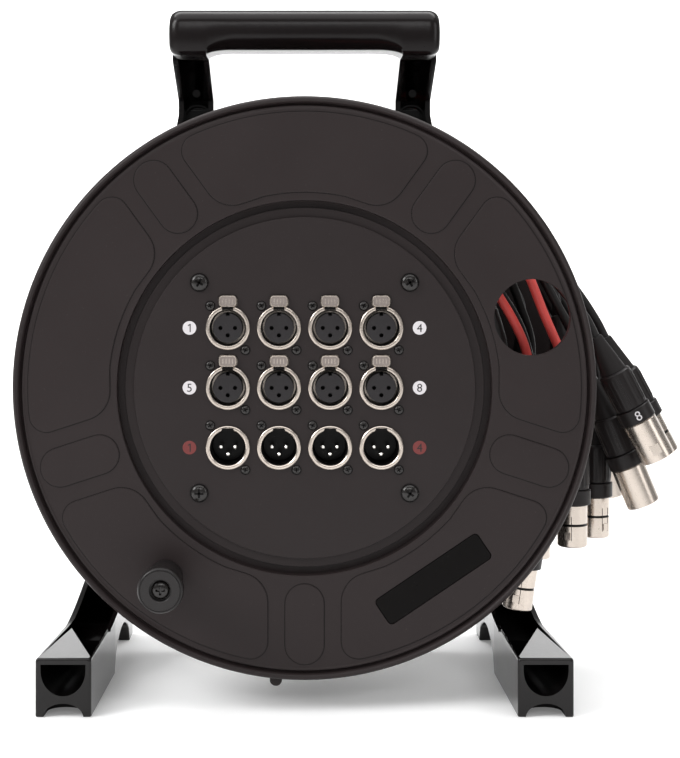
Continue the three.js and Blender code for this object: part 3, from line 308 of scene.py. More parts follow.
CHEEK = plastic(
    "cheek_moulding", (0.0150, 0.0108, 0.0108), (0.0215, 0.0160, 0.0160), 0.46, 0.8, 0.035, sheen=0.18
)
PANEL = plastic(
    "panel_powder_coat", (0.0140, 0.0102, 0.0102), (0.0190, 0.0143, 0.0143), 0.44, 0.55, 0.045, sheen=0.19
)
GLOSS = plastic(
    "frame_gloss", (0.0032, 0.0024, 0.0024), (0.0048, 0.0038, 0.0038), 0.15, 9.0, 0.03, 0.06, 0.01, sheen=0.3
)
GRIP_FINISH = plastic(
    "grip_satin", (0.0046, 0.0032, 0.0032), (0.0066, 0.0049, 0.0049), 0.25, 4.0, 0.04, 0.06, 0.01, sheen=0.2
)
LABEL = plastic(
    "label_gloss", (0.0026, 0.0021, 0.0020), (0.0040, 0.0034, 0.0032), 0.3, 5.0, 0.02, 0.08, sheen=0.06
)
INSERT = plastic("socket_insert", (0.0105, 0.0090, 0.0098), (0.0160, 0.0138, 0.0150), 0.42, 0.6, 0.02)
# Painted shade: a darker, matt finish for the faces cut into the feet, so that their hollows read dark.
HOLLOW_SHADE = plastic(
    "frame_hollow_painted_shade", (0.0012, 0.0009, 0.0009), (0.0022, 0.0018, 0.0018), 0.4, 3.0, 0.02, sheen=0.05
)
# Near-black: the real black plastic of the cups and plug floors, and also painted shade in holes, gaps,
# grooves, slits, under screws and on the tabs' stems.
CUP_AND_SHADE = plastic("inlet_cup", (0.0016, 0.0013, 0.0013), (0.0030, 0.0025, 0.0025), 0.3, 0.8, 0.02, sheen=0.12)
# Painted shade: the darker colour of the thin fillet round the relief's foot.
RELIEF_SHADE = plastic(
    "relief_line", (0.0055, 0.0042, 0.0042), (0.0080, 0.0062, 0.0062), 0.5, 0.8, 0.02, sheen=0.12
)
PLUG_BLACK = plastic(
    "plug_body", (0.0080, 0.0062, 0.0062), (0.0125, 0.0100, 0.0100), 0.4, 0.7, 0.02, sheen=0.2
)
BOOT = plastic("boot_rubber", (0.0080, 0.0064, 0.0064), (0.0120, 0.0100, 0.0100), 0.5, 0.6, 0.02, sheen=0.2)
JACKET = plastic("cable_jacket", (0.0090, 0.0080, 0.0080), (0.0160, 0.0142, 0.0142), 0.42, 1.6, 0.03)
TAIL_BLACK = plastic(
    "tail_black", (0.0075, 0.0065, 0.0065), (0.0130, 0.0115, 0.0115), 0.4, 1.0, 0.02, sheen=0.2
)
TAIL_RED = plastic("tail_red", (0.60, 0.065, 0.058), (0.72, 0.090, 0.078), 0.4, 1.0, 0.02, 0.1, 0.01)
print("plastics:", len(bpy.data.materials))

# %% [markdown]
# The rings, tabs and shells are satin nickel over die-cast zinc: metal with a fine brushed line
# round the turned parts. The brushing is noise that is stretched along one axis, and it drives the
# roughness and a very low bump. Steel bolts and black screws are the same idea in other colours.


# %% Finish maker for metals
BRUSH_SCALE = 700.0  # lines to a metre
TARNISH_SCALE = 90.0


def metal(name, dark, light, roughness, spread, stretch=(1, 6, 1), depth=0.006, metallic=1.0):
    """A brushed metal, its lines drawn out along the axes with a low stretch."""
    material, tree, shader = new_finish(name)
    shader.inputs["Metallic"].default_value = metallic
    coords = object_coords(tree)
    lines = noise_node(tree, stretched(tree, coords, stretch), BRUSH_SCALE, 4.0, 0.65)
    cloud = noise_node(tree, coords, TARNISH_SCALE, 3.0, 0.5)
    tree.links.new(color_mix(tree, cloud, dark, light), shader.inputs["Base Color"])
    rough = math_node(tree, "MULTIPLY_ADD", lines, spread, roughness - spread / 2)
    tree.links.new(rough, shader.inputs["Roughness"])
    add_bump(tree, shader, lines, depth)
    return material


TAB_METAL = metal("tab_face", (0.26, 0.222, 0.205), (0.34, 0.295, 0.272), 0.42, 0.1, depth=0.002)
NICKEL = metal("satin_nickel", (0.50, 0.437, 0.383), (0.57, 0.507, 0.452), 0.27, 0.04, depth=0.0004)
PIN = metal("bright_pin", (0.80, 0.78, 0.74), (0.92, 0.90, 0.87), 0.18, 0.08)
STEEL = metal("zinc_steel", (0.42, 0.42, 0.43), (0.56, 0.56, 0.57), 0.34, 0.2)
BLACK_SCREW = metal(
    "black_screw", (0.006, 0.005, 0.0047), (0.014, 0.012, 0.011), 0.22, 0.1, depth=0.002, metallic=0.2
)
print("finishes:", len(bpy.data.materials))

# %% [markdown]
# Printed badges are thin paint: a white and a dull red, each slightly uneven. The dark digits on
# them, and the white ones on the plugs' rings, use the same maker with its own values.

# %% Printed paints
WHITE_PRINT = plastic("white_print", (0.53, 0.505, 0.52), (0.60, 0.575, 0.59), 0.5, 0.5, 0.01, 0.1, 0.0, 8)
RED_PRINT = plastic("red_print", (0.115, 0.022, 0.021), (0.155, 0.031, 0.029), 0.5, 0.5, 0.01, 0.1, 0.0, 8)
DARK_PRINT = plastic(
    "dark_print", (0.010, 0.010, 0.010), (0.018, 0.018, 0.018), 0.5, 0.5, 0.01, 0.1, 0.0, 8
)
print("prints: 3")

# %% [markdown]
# Turned parts, lofts and tubes all become lists of corners and faces first. Each list carries its
# finish, and one call joins such lists into a single mesh piece, which is how a real assembly of
# shell, insert and contacts reads as one connector.


# %% Mesh helpers
def basis(axis, up=(0, 0, 1)):
    """Two directions square to an axis, as a matrix whose third column is the axis."""
    w = Vector(axis).normalized()
    up = Vector(up)
    if abs(w.dot(up)) > 0.99:
        up = Vector((1, 0, 0))
    u = up.cross(w).normalized()
    return Matrix((u, w.cross(u), w)).transposed()


def turned(profile, steps, origin, axis=(0, 1, 0)):
    """A profile of (radius, distance) in millimetres turned about an axis through an origin."""
    turn = basis(axis)
    corners = []
    rows = []
    for radius, along in profile:
        if radius < 1e-6:
            rows.append([len(corners)] * steps)
            corners.append(origin + turn @ Vector((0, 0, along)) * MM)
            continue
        row = []
        for i in range(steps):
            angle = TURN * i / steps
            row.append(len(corners))
            spot = Vector((radius * math.cos(angle), radius * math.sin(angle), along))
            corners.append(origin + turn @ spot * MM)
        rows.append(row)
    faces = []
    for a, b in zip(rows, rows[1:]):
        for i in range(steps):
            j = (i + 1) % steps
            face = [a[i], a[j], b[j], b[i]]
            face = [v for k, v in enumerate(face) if v != face[k - 1]]
            if len(face) > 2:
                faces.append(face)
    return corners, faces


def round_the_drum(profile, steps, x=0.0, up=0.0):
    """A profile turned about the drum's axis, or about a line beside it."""
    return turned(profile, steps, on_drum(x, 0, up))


def disc(radius, near, far):
    """The profile of a plain disc between two distances."""
    return [(0, near), (radius, near), (radius, far), (0, far)]


def arc(x, z, half_width, half_height, first, last, steps):
    """Points along a circle or an ellipse, between two shares of a full turn."""
    angles = [TURN * (first + (last - first) * i / steps) for i in range(steps + 1)]
    return [(x + half_width * math.cos(a), z + half_height * math.sin(a)) for a in angles]


def flat_box(x0, x1, z0, z1):
    """A rectangle as four points."""
    return [(x0, z0), (x1, z0), (x1, z1), (x0, z1)]


def lofted(rings, closed_ends=True):
    """Rings of points in metres, joined one to the next."""
    count = len(rings[0])
    corners = [Vector(p) for ring in rings for p in ring]
    faces = []
    for r in range(len(rings) - 1):
        for i in range(count):
            j = (i + 1) % count
            a, b = r * count, (r + 1) * count
            faces.append([a + i, a + j, b + j, b + i])
    if closed_ends:
        faces.append(list(range(count))[::-1])
        faces.append([(len(rings) - 1) * count + i for i in range(count)])
    return corners, faces


def piece(name, parts, body, stands_for=(), angle=32):
    """One mesh object from parts of (corners, faces, material)."""
    mesh = bpy.data.meshes.new(name)
    corners, faces, owners, used = [], [], [], []
    for part_corners, part_faces, material in parts:
        if material not in used:
            used.append(material)
        start = len(corners)
        corners += part_corners
        faces += [[start + v for v in face] for face in part_faces]
        owners += [used.index(material)] * len(part_faces)
    mesh.from_pydata(corners, [], faces)
    for material in used:
        mesh.materials.append(material)
    mesh.polygons.foreach_set("material_index", owners)
    bm = bmesh.new()
    bm.from_mesh(mesh)
    bmesh.ops.recalc_face_normals(bm, faces=bm.faces)
    bm.to_mesh(mesh)
    bm.free()
    obj = bpy.data.objects.new(name, mesh)
    bpy.context.scene.collection.objects.link(obj)
    smooth_by_angle(obj, angle)
    if body:
        settle(obj, body, stands_for)
    return obj


def smooth_by_angle(obj, angle):
    """Smooth shading, broken at edges sharper than an angle in degrees; flat faces stay flat."""
    mesh = obj.data
    mesh.shade_smooth()
    bm = bmesh.new()
    bm.from_mesh(mesh)
    limit = math.radians(angle)
    for edge in bm.edges:
        edge.smooth = len(edge.link_faces) == 2 and edge.calc_face_angle(0) < limit
    bm.to_mesh(mesh)
    bm.free()
    modifier = obj.modifiers.new("flat faces", "WEIGHTED_NORMAL")
    modifier.keep_sharp = True
    modifier.weight = 90
    baked(obj)


def settle(obj, body, stands_for=()):
    """Joins a finished piece to its body and to the nodes that it stands for."""
    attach(obj, body)
    if stands_for:
        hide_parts(*stands_for)


def made(obj):
    """A line on a new piece for the log."""
    print(obj.name, len(obj.data.polygons), "faces")


def finished(obj, angle, body, stands_for):
    """Shades a piece after its cuts and bevels, and joins it to its body."""
    smooth_by_angle(obj, angle)
    settle(obj, body, stands_for)
    made(obj)


def baked(obj):
    """Applies an object's modifiers: its evaluated mesh takes the place of its own."""
    view = bpy.context.evaluated_depsgraph_get()
    view.update()
    mesh = bpy.data.meshes.new_from_object(obj.evaluated_get(view))
    obj.modifiers.clear()
    obj.data = mesh
    return obj


def cutter(part, finish):
    """A piece that is made only to be cut out of another."""
    return piece("tool", [(*part, finish)], None)


def cut_by(obj, tools, own_finish=False):
    """Cuts tools out of a piece and removes them; a cut can take the tool's own finish."""
    for tool in tools:
        modifier = obj.modifiers.new("cut", "BOOLEAN")
        modifier.operation = "DIFFERENCE"
        modifier.solver = "EXACT"
        modifier.material_mode = "TRANSFER" if own_finish else "INDEX"
        modifier.object = tool
    baked(obj)
    for tool in tools:
        bpy.data.objects.remove(tool)
    return obj


def edged(obj, width, segments=3, angle=35):
    """Rounds a piece's sharp edges by a width in millimetres."""
    modifier = obj.modifiers.new("edges", "BEVEL")
    modifier.width = width * MM
    modifier.segments = segments
    modifier.limit_method = "ANGLE"
    modifier.angle_limit = math.radians(angle)
    modifier.harden_normals = False
    return baked(obj)


print("helpers ready")

# %% [markdown]
# What repeats on the reel is copied by Geometry Nodes. The first tree sets a source piece on every
# corner of a small guide mesh, with a turn about Y that the guide stores for that corner. It makes
# the screws and, under them, near-black rings and crosses of painted shade. The result is realised
# and turned into a plain mesh, as a scene for export needs.


# %% Geometry Nodes: copies on the corners of a guide
def new_geometry_tree(name, inputs):
    """An empty Geometry Nodes tree with inputs of (name, kind of socket)."""
    tree = bpy.data.node_groups.new(name, "GeometryNodeTree")
    for socket_name, kind in [("Geometry", "Geometry"), *inputs]:
        tree.interface.new_socket(socket_name, in_out="INPUT", socket_type="NodeSocket" + kind)
    tree.interface.new_socket("Geometry", in_out="OUTPUT", socket_type="NodeSocketGeometry")
    return tree, tree.nodes.new("NodeGroupInput")


def end_of_tree(tree, source, copies):
    """Makes the copies real, gives them their finish and leads them out."""
    realise = tree.nodes.new("GeometryNodeRealizeInstances")
    finish = tree.nodes.new("GeometryNodeSetMaterial")
    result = tree.nodes.new("NodeGroupOutput")
    tree.links.new(copies.outputs[0], realise.inputs[0])
    tree.links.new(realise.outputs[0], finish.inputs["Geometry"])
    tree.links.new(source.outputs["Finish"], finish.inputs["Material"])
    tree.links.new(finish.outputs[0], result.inputs[0])


def copies_tree():
    inputs = [("Piece", "Object"), ("Scale", "Float"), ("Finish", "Material")]
    tree, source = new_geometry_tree("copies_on_corners", inputs)
    info = tree.nodes.new("GeometryNodeObjectInfo")
    stored = tree.nodes.new("GeometryNodeInputNamedAttribute")
    stored.data_type = "FLOAT"
    stored.inputs["Name"].default_value = "turn"
    angle = tree.nodes.new("ShaderNodeCombineXYZ")
    copies = tree.nodes.new("GeometryNodeInstanceOnPoints")
    link = tree.links.new
    link(source.outputs["Piece"], info.inputs["Object"])
    link(source.outputs["Geometry"], copies.inputs["Points"])
    link(info.outputs["Geometry"], copies.inputs["Instance"])
    link(stored.outputs["Attribute"], angle.inputs["Y"])
    link(angle.outputs[0], copies.inputs["Rotation"])
    link(source.outputs["Scale"], copies.inputs["Scale"])
    end_of_tree(tree, source, copies)
    return tree


COPIES = copies_tree()


def set_inputs(modifier, values):
    """Sets a Geometry Nodes modifier's inputs by the names that its tree gives them."""
    for item in modifier.node_group.interface.items_tree:
        if item.item_type == "SOCKET" and item.in_out == "INPUT" and item.name in values:
            modifier[item.identifier] = values[item.name]


def copied(name, source, spots, finish, scale=1.0):
    """Copies of a source piece at spots of (point, turn about Y)."""
    mesh = bpy.data.meshes.new(name)
    mesh.from_pydata([spot for spot, _ in spots], [], [])
    turns = mesh.attributes.new("turn", "FLOAT", "POINT")
    turns.data.foreach_set("value", [turn for _, turn in spots])
    obj = bpy.data.objects.new(name, mesh)
    bpy.context.scene.collection.objects.link(obj)
    modifier = obj.modifiers.new("copies", "NODES")
    modifier.node_group = COPIES
    set_inputs(modifier, {"Piece": source, "Scale": scale, "Finish": finish})
    baked(obj)
    bpy.data.objects.remove(source)
    return obj


print("tree", COPIES.name, "with", len(COPIES.nodes), "nodes")

# %% [markdown]
# The multicore is wound on the drum in layers. Only the outer layer shows: seven turns of 12 mm
# cable, side by side, climbing steadily from the rear cheek to the front. Its centreline follows
# the CAD model's own rule, with four times as many steps, so that the turns look round.

# %% The winding
CABLE_RADIUS = 6
LOOPS = 7
WINDING_PITCH = 13
WINDING_RADIUS = 109.8
WINDING_START = 113
WINDING_END_DEGREES = 118
LIFT = 5
LIFT_SHARE = 0.25  # of a loop
WINDING_STEPS = 96


def winding_point(loop):
    """The cable's centre after so many loops, from the drum's axis."""
    left = LOOPS - loop
    angle = math.radians(WINDING_END_DEGREES) + left * TURN
    radius = WINDING_RADIUS + LIFT * max(0.0, 1 - left / LIFT_SHARE) ** 2
    return on_drum(radius * math.cos(angle), WINDING_START - loop * WINDING_PITCH, radius * math.sin(angle))


def winding_path():
    points = [winding_point(i / WINDING_STEPS) for i in range(LOOPS * WINDING_STEPS + 1)]
    start = points[0] + (points[0] - points[1]).normalized() * 2 * CABLE_RADIUS * MM
    end = points[-1] + (points[-1] - points[-2]).normalized() * 2 * CABLE_RADIUS * MM
    return [start, *points, end]


def tube(points, radius, sides, across=(0, 1, 0)):
    """A round tube along points in metres, its radius in millimetres; a list of radii is allowed."""
    radii = radius if isinstance(radius, list) else [radius] * len(points)
    rings = []
    u = Vector(across)
    for i, point in enumerate(points):
        along = (points[min(len(points) - 1, i + 1)] - points[max(0, i - 1)]).normalized()
        u = (u - along * u.dot(along)).normalized()
        v = along.cross(u)
        ring = []
        for k in range(sides):
            angle = TURN * k / sides
            ring.append(point + (u * math.cos(angle) + v * math.sin(angle)) * radii[i] * MM)
        rings.append(ring)
    return lofted(rings)


WINDING = winding_path()
winding_piece = piece(
    "multicore_outer_layer",
    [(*tube(WINDING, CABLE_RADIUS - 0.05, 20), JACKET)],
    "drum",
    ["multicore_winding"],
)
made(winding_piece)

# %% [markdown]
# Below the outer layer lies a plain sleeve for the layers under it. It is hardly seen, because the
# turns of the outer layer close over it. A short stub of cable rises from it to the first turn.

# %% The layer below
UNDER_RADIUS = 97.6
UNDER_TOP = 103.4
UNDER_FRONT = 10
UNDER_BACK = 121.5
STOP_LENGTH = 14


def stop_block():
    """The cable's start coming up through the layer, as a short stub."""
    start, after = WINDING[0], WINDING[1]
    along = (start - after).normalized()
    return tube([start + along * FIT * MM, start + along * STOP_LENGTH * MM], CABLE_RADIUS - 0.2, 20)


sleeve_section = [
    (UNDER_RADIUS, UNDER_FRONT),
    (UNDER_TOP, UNDER_FRONT),
    (UNDER_TOP, UNDER_BACK),
    (UNDER_RADIUS, UNDER_BACK),
]
sleeve = round_the_drum(sleeve_section, 96)
under_piece = piece(
    "multicore_inner_layers",
    [(*sleeve, JACKET), (*stop_block(), JACKET)],
    "drum",
    ["winding_core"],
)
made(under_piece)

# %% [markdown]
# The cable's free end goes into a tapered boot where it divides. Twelve thin tails come out of the
# boot's mouth: two red ones, which belong to returns, and ten black ones. They spread over the
# winding and hang down at the right under their plugs' weight. Each is a smooth curve through the
# same points as the CAD model's tail.

# %% Where the tails run
BOOT_LENGTH = 40
BOOT_BACK = 6.6
BOOT_MOUTH = 9.5
BOOT_TAPER_SHARE = 0.6
BUNDLE_RADIUS = 5.4
TAIL_RADIUS = 2.6
TAIL_LAY_RADIUS = 119.4
TAIL_STRAIGHT = 6
LAY_SHARES = (0.46, 0.8, 1.0)
LAY_DEGREES = (78, 66, 54)

# name: (kind, depth where it lies on the winding, the boot's tip, tilt in degrees, points on the way)
FAN_OUT = {
    "return_plug_1": ("return", 24, (130, 30, 124.5), -8.5, [(120, 26, 202.5), (128.5, 28, 163)]),
    "return_plug_2": ("return", 31, (150, 31, 160), 0, [(112.5, 31, 255.5), (136, 32, 209.5)]),
    "send_plug_8": ("send", 38.5, (162.5, 29, 201), 27.5, [(117.5, 35, 263), (142, 31, 230)]),
    "send_plug_6": ("send", 46, (165, 50, 174.5), 22.5, [(115.5, 43, 259), (146, 44, 214)]),
    "send_plug_1": ("send", 53.5, (146, 57, 211.5), 7, [(112.5, 53, 263.5), (133.5, 55.5, 239.5)]),
    "send_plug_7": ("send", 61, (132.5, 58, 148), 0, [(120, 59, 214.5), (131, 58.5, 183.5)]),
    "return_plug_4": ("return", 68.5, (174.5, 62, 198.5), 27.5, [(122, 66, 265), (153, 63.5, 232.5)]),
    "return_plug_3": ("return", 76, (170, 68.5, 158), 0, [(119.5, 73.5, 253.5), (151, 71.5, 205.5)]),
    "send_plug_3": ("send", 83.5, (135, 84, 183.5), 1.5, [(116.5, 81.5, 240.5), (130, 83, 211.5)]),
    "send_plug_5": ("send", 91, (163, 86.5, 213.5), 9, [(119, 89, 266), (147.5, 87, 241.5)]),
    "send_plug_2": ("send", 98.5, (133, 107, 203.5), 2.5, [(112.5, 101, 251.5), (126.5, 105, 228.5)]),
    "send_plug_4": ("send", 106, (174.5, 107.5, 174), 8, [(124, 107, 262), (158, 107.5, 217.5)]),
}

cable_along = (WINDING[-1] - WINDING[-2]).normalized()
boot_start = WINDING[-1] + cable_along * FIT * MM
boot_mouth = boot_start + cable_along * BOOT_LENGTH * MM
tail_mouth = boot_mouth + cable_along * FIT * MM


def plug_direction(tilt):
    angle = math.radians(tilt)
    return Vector((math.sin(angle), 0, -math.cos(angle)))


def catmull_rom(points, spacing):
    """A centripetal Catmull-Rom curve through points, as points about a spacing apart in metres."""
    ends = [points[0] * 2 - points[1], *points, points[-1] * 2 - points[-2]]
    line = []
    for p0, p1, p2, p3 in zip(ends, ends[1:], ends[2:], ends[3:]):
        t0 = math.sqrt((p1 - p0).length)
        t1 = math.sqrt((p2 - p1).length)
        t2 = math.sqrt((p3 - p2).length)
        m1 = ((p1 - p0) / t0 - (p2 - p0) / (t0 + t1) + (p2 - p1) / t1) * t1
        m2 = ((p2 - p1) / t1 - (p3 - p1) / (t1 + t2) + (p3 - p2) / t2) * t1
        steps = max(2, round((p2 - p1).length / spacing))
        for i in range(steps):
            t = i / steps
            a = p1 * (2 * t**3 - 3 * t**2 + 1) + m1 * (t**3 - 2 * t**2 + t)
            b = p2 * (3 * t**2 - 2 * t**3) + m2 * (t**3 - t**2)
            line.append(a + b)
    return [*line, points[-1]]


def tail_route(order, lay, tip, tilt, by):
    angle = TURN * order / len(FAN_OUT)
    side = Vector((0, 1, 0)).cross(cable_along)
    offset = Vector((0, -math.cos(angle), 0)) + side * math.sin(angle)
    start = tail_mouth + offset * BUNDLE_RADIUS * MM
    out = start + cable_along * TAIL_STRAIGHT * MM
    out_depth = out.y / MM - DEPTH_SHIFT
    laid = []
    for share, degrees in zip(LAY_SHARES, LAY_DEGREES):
        a = math.radians(degrees)
        depth = out_depth + (lay - out_depth) * share
        laid.append(on_drum(TAIL_LAY_RADIUS * math.cos(a), depth, TAIL_LAY_RADIUS * math.sin(a)))
    back = -plug_direction(tilt)
    end = place(*tip) + back * FIT * MM
    before = place(*tip) + back * (FIT + 2 * TAIL_STRAIGHT) * MM
    return [start, out, *laid, *[place(*p) for p in by], before, end]


def line_length(points):
    return sum((b - a).length for a, b in zip(points, points[1:]))


TAIL_LINES = {}
for order, (name, (kind, lay, tip, tilt, by)) in enumerate(FAN_OUT.items()):
    TAIL_LINES[name] = catmull_rom(tail_route(order, lay, tip, tilt, by), 3 * MM)
print("tails:", {name: round(line_length(line), 3) for name, line in TAIL_LINES.items()})

# %% [markdown]
# The plugs are cable connectors. From the cable down, each has a rubber boot, a fluted plastic body
# to grip, a plain ring for its number, and a nickel shell. A send has a male shell, wide and open
# with three pins. A return has a female shell, narrower, with a groove round it and a latch.

# %% Sizes of a plug
PLUG_LENGTH = 76
SHELL_START = PLUG_LENGTH * (1 - 0.31)
RING_START = SHELL_START - PLUG_LENGTH * 0.11
BOOT_END = PLUG_LENGTH * 0.29
PLUG_TIP = 3.6
PLUG_BOOT = 7.4
PLUG_BODY = 9.1
NUMBER_RING = 10.1
MALE_SHELL = 9.5
FEMALE_SHELL = 8.3
CUP_DEPTH = 15
CONTACT_SPREAD = 3.95
CONTACTS = [(-CONTACT_SPREAD, 0), (CONTACT_SPREAD, 0), (0, CONTACT_SPREAD)]
PIN_RADIUS = 1.15
GROOVE_SHARE = 0.47  # where the groove lies along a female plug's shell
GROOVE_AT = SHELL_START + (PLUG_LENGTH - SHELL_START) * GROOVE_SHARE
DIGIT_HEIGHT = 5.2
FLUTES = 22
print("shell", round(PLUG_LENGTH - SHELL_START, 1), "mm of", PLUG_LENGTH)

# %% [markdown]
# The flutes on a plug's body are raised ribs that fade out at both ends. A second Geometry Nodes
# tree sets one rib round an axis as often as its input says. It is run once, and its mesh is then
# placed on every plug.


# %% Geometry Nodes: copies round the Z axis
def round_tree():
    inputs = [("Count", "Int"), ("Radius", "Float"), ("First Angle", "Float"), ("Finish", "Material")]
    tree, source = new_geometry_tree("copies_round_axis", inputs)
    points = tree.nodes.new("GeometryNodePoints")
    index = tree.nodes.new("GeometryNodeInputIndex")
    share = math_node(tree, "DIVIDE", index.outputs[0], source.outputs["Count"])
    angle = math_node(tree, "MULTIPLY_ADD", share, TURN, source.outputs["First Angle"])
    start = tree.nodes.new("ShaderNodeCombineXYZ")
    spot = tree.nodes.new("ShaderNodeVectorRotate")
    spot.rotation_type = "Z_AXIS"
    rotation = tree.nodes.new("ShaderNodeCombineXYZ")
    copies = tree.nodes.new("GeometryNodeInstanceOnPoints")
    link = tree.links.new
    link(source.outputs["Count"], points.inputs["Count"])
    link(source.outputs["Radius"], start.inputs["X"])
    link(start.outputs[0], spot.inputs["Vector"])
    link(angle, spot.inputs["Angle"])
    link(spot.outputs[0], points.inputs["Position"])
    link(angle, rotation.inputs["Z"])
    link(points.outputs[0], copies.inputs["Points"])
    link(source.outputs["Geometry"], copies.inputs["Instance"])
    link(rotation.outputs[0], copies.inputs["Rotation"])
    end_of_tree(tree, source, copies)
    return tree


ROUND = round_tree()


def round_axis(name, source, count, radius, finish, first=0.0):
    """Copies of a source mesh object round the Z axis, as (corners, faces)."""
    modifier = source.modifiers.new("round", "NODES")
    modifier.node_group = ROUND
    set_inputs(modifier, {"Count": count, "Radius": radius * MM, "First Angle": first, "Finish": finish})
    baked(source)
    corners = [v.co.copy() for v in source.data.vertices]
    faces = [list(p.vertices) for p in source.data.polygons]
    bpy.data.objects.remove(source)
    print(name, count, "copies,", len(faces), "faces")
    return corners, faces


def rib(length, width, height):
    """A rib along Z with tapered ends, its root at the origin."""
    half = width / 2
    sections = [(0, 0.1), (length * 0.12, height), (length * 0.88, height), (length, 0.1)]
    rings = []
    for z, tall in sections:
        ring = [(-1, -half, z), (tall * 0.6, -half, z), (tall, -half * 0.5, z)]
        ring += [(tall, half * 0.5, z), (tall * 0.6, half, z), (-1, half, z)]
        rings.append([Vector(p) * MM for p in ring])
    return lofted(rings)


flute_length = RING_START - BOOT_END - 3
flute = piece("flute", [(*rib(flute_length, 1.5, 0.42), PLUG_BLACK)], None)
FLUTE_MESH = round_axis("flutes", flute, FLUTES, PLUG_BODY - 0.15, PLUG_BLACK)

# %% [markdown]
# A digit is a flat text object made into a mesh, so that it can lie on a disc or be wrapped round a
# plug's ring. Only plain numbers are used.


# %% Digits
ONE_SHARES = [(0.02, -0.5), (0.15, -0.5), (0.15, 0.5), (0.05, 0.5), (-0.2, 0.32), (-0.15, 0.22), (0.02, 0.33)]


def digit_mesh(digit, height):
    """A digit's corners and faces, flat and centred, its height in millimetres."""
    if digit == "1":
        return [Vector((x, y, 0)) * height for x, y in ONE_SHARES], [[0, 1, 2, 3, 6], [3, 4, 5, 6]]
    curve = bpy.data.curves.new("digit", "FONT")
    curve.body = digit
    curve.align_x = "CENTER"
    curve.align_y = "CENTER"
    curve.resolution_u = 5
    obj = bpy.data.objects.new("digit", curve)
    bpy.context.scene.collection.objects.link(obj)
    view = bpy.context.evaluated_depsgraph_get()
    mesh = bpy.data.meshes.new_from_object(obj.evaluated_get(view))
    bpy.data.objects.remove(obj)
    ys = [v.co.y for v in mesh.vertices]
    xs = [v.co.x for v in mesh.vertices]
    scale = height / (max(ys) - min(ys))
    middle = Vector(((max(xs) + min(xs)) / 2, (max(ys) + min(ys)) / 2, 0))
    corners = [(v.co - middle) * scale for v in mesh.vertices]
    return corners, [list(p.vertices) for p in mesh.polygons]


print("digit 8:", len(digit_mesh("8", 4)[1]), "faces")

# %% [markdown]
# A plug is built along its own axis, from the boot's tip down to the open end, and then turned into
# its place. All its parts share one piece, because on the real plug they are screwed together.


# %% Plug maker
def moved(part, turn, origin):
    corners, faces = part
    return [origin + turn @ corner for corner in corners], faces


ZERO = Vector((0, 0, 0))


def upright(profile, steps, x=0.0, y=0.0):
    """A profile turned about a line along Z."""
    return turned(profile, steps, Vector((x, y, 0)) * MM, (0, 0, 1))


def shell_profile(male):
    if male:
        cup = MALE_SHELL - 1.0
        floor = PLUG_LENGTH - CUP_DEPTH
        return [
            (NUMBER_RING - 0.6, SHELL_START),
            (MALE_SHELL - 0.3, SHELL_START + 0.2),
            (MALE_SHELL, SHELL_START + 0.6),
            (MALE_SHELL, PLUG_LENGTH - 0.5),
            (MALE_SHELL - 0.3, PLUG_LENGTH),
            (cup, PLUG_LENGTH),
            (cup, floor),
            (0, floor),
        ]
    groove = GROOVE_AT
    r = FEMALE_SHELL
    return [
        (r - 0.5, SHELL_START),
        (r, SHELL_START + 0.5),
        (r, groove - 0.7),
        (r - 0.9, groove - 0.6),
        (r - 0.9, groove + 0.6),
        (r, groove + 0.7),
        (r, PLUG_LENGTH - 0.7),
        (r - 0.7, PLUG_LENGTH),
        (r - 1.1, PLUG_LENGTH),
        (r - 1.1, PLUG_LENGTH - 1.2),
        (0, PLUG_LENGTH - 1.2),
    ]


def block(low, high):
    """A box in millimetres between two corners."""
    (x0, y0, z0), (x1, y1, z1) = low, high
    return lofted([[Vector((x, y, z)) * MM for x, y in flat_box(x0, x1, y0, y1)] for z in (z0, z1)])


def ring_digit(digit, facing, radius, along):
    """A digit wrapped round a ring about Z, its foot towards the plug's open end."""
    corners, faces = digit_mesh(digit, DIGIT_HEIGHT)
    wrapped = []
    for corner in corners:
        angle = facing + corner.x / radius
        spot = Vector((radius * math.cos(angle), radius * math.sin(angle), along - corner.y))
        wrapped.append(spot * MM)
    return wrapped, faces


def male_end(spin):
    """The black floor of a male shell, its three pins and the window's plate on its side."""
    floor = PLUG_LENGTH - CUP_DEPTH + 0.1
    parts = [(*upright(disc(MALE_SHELL - 1.1, floor, floor - 1), 32), CUP_AND_SHADE)]
    pin = [
        (0, floor),
        (PIN_RADIUS, floor),
        (PIN_RADIUS, PLUG_LENGTH - 3),
        (0.4, PLUG_LENGTH - 2),
        (0, PLUG_LENGTH - 2),
    ]
    for x, y in CONTACTS:
        parts.append((*moved(upright(pin, 12, x, y), spin, ZERO), PIN))
    low = (MALE_SHELL - 1, -2.6, PLUG_LENGTH - 9.5)
    high = (MALE_SHELL + 0.05, 2.6, PLUG_LENGTH - 4)
    parts.append((*moved(block(low, high), spin, ZERO), NICKEL))
    return parts


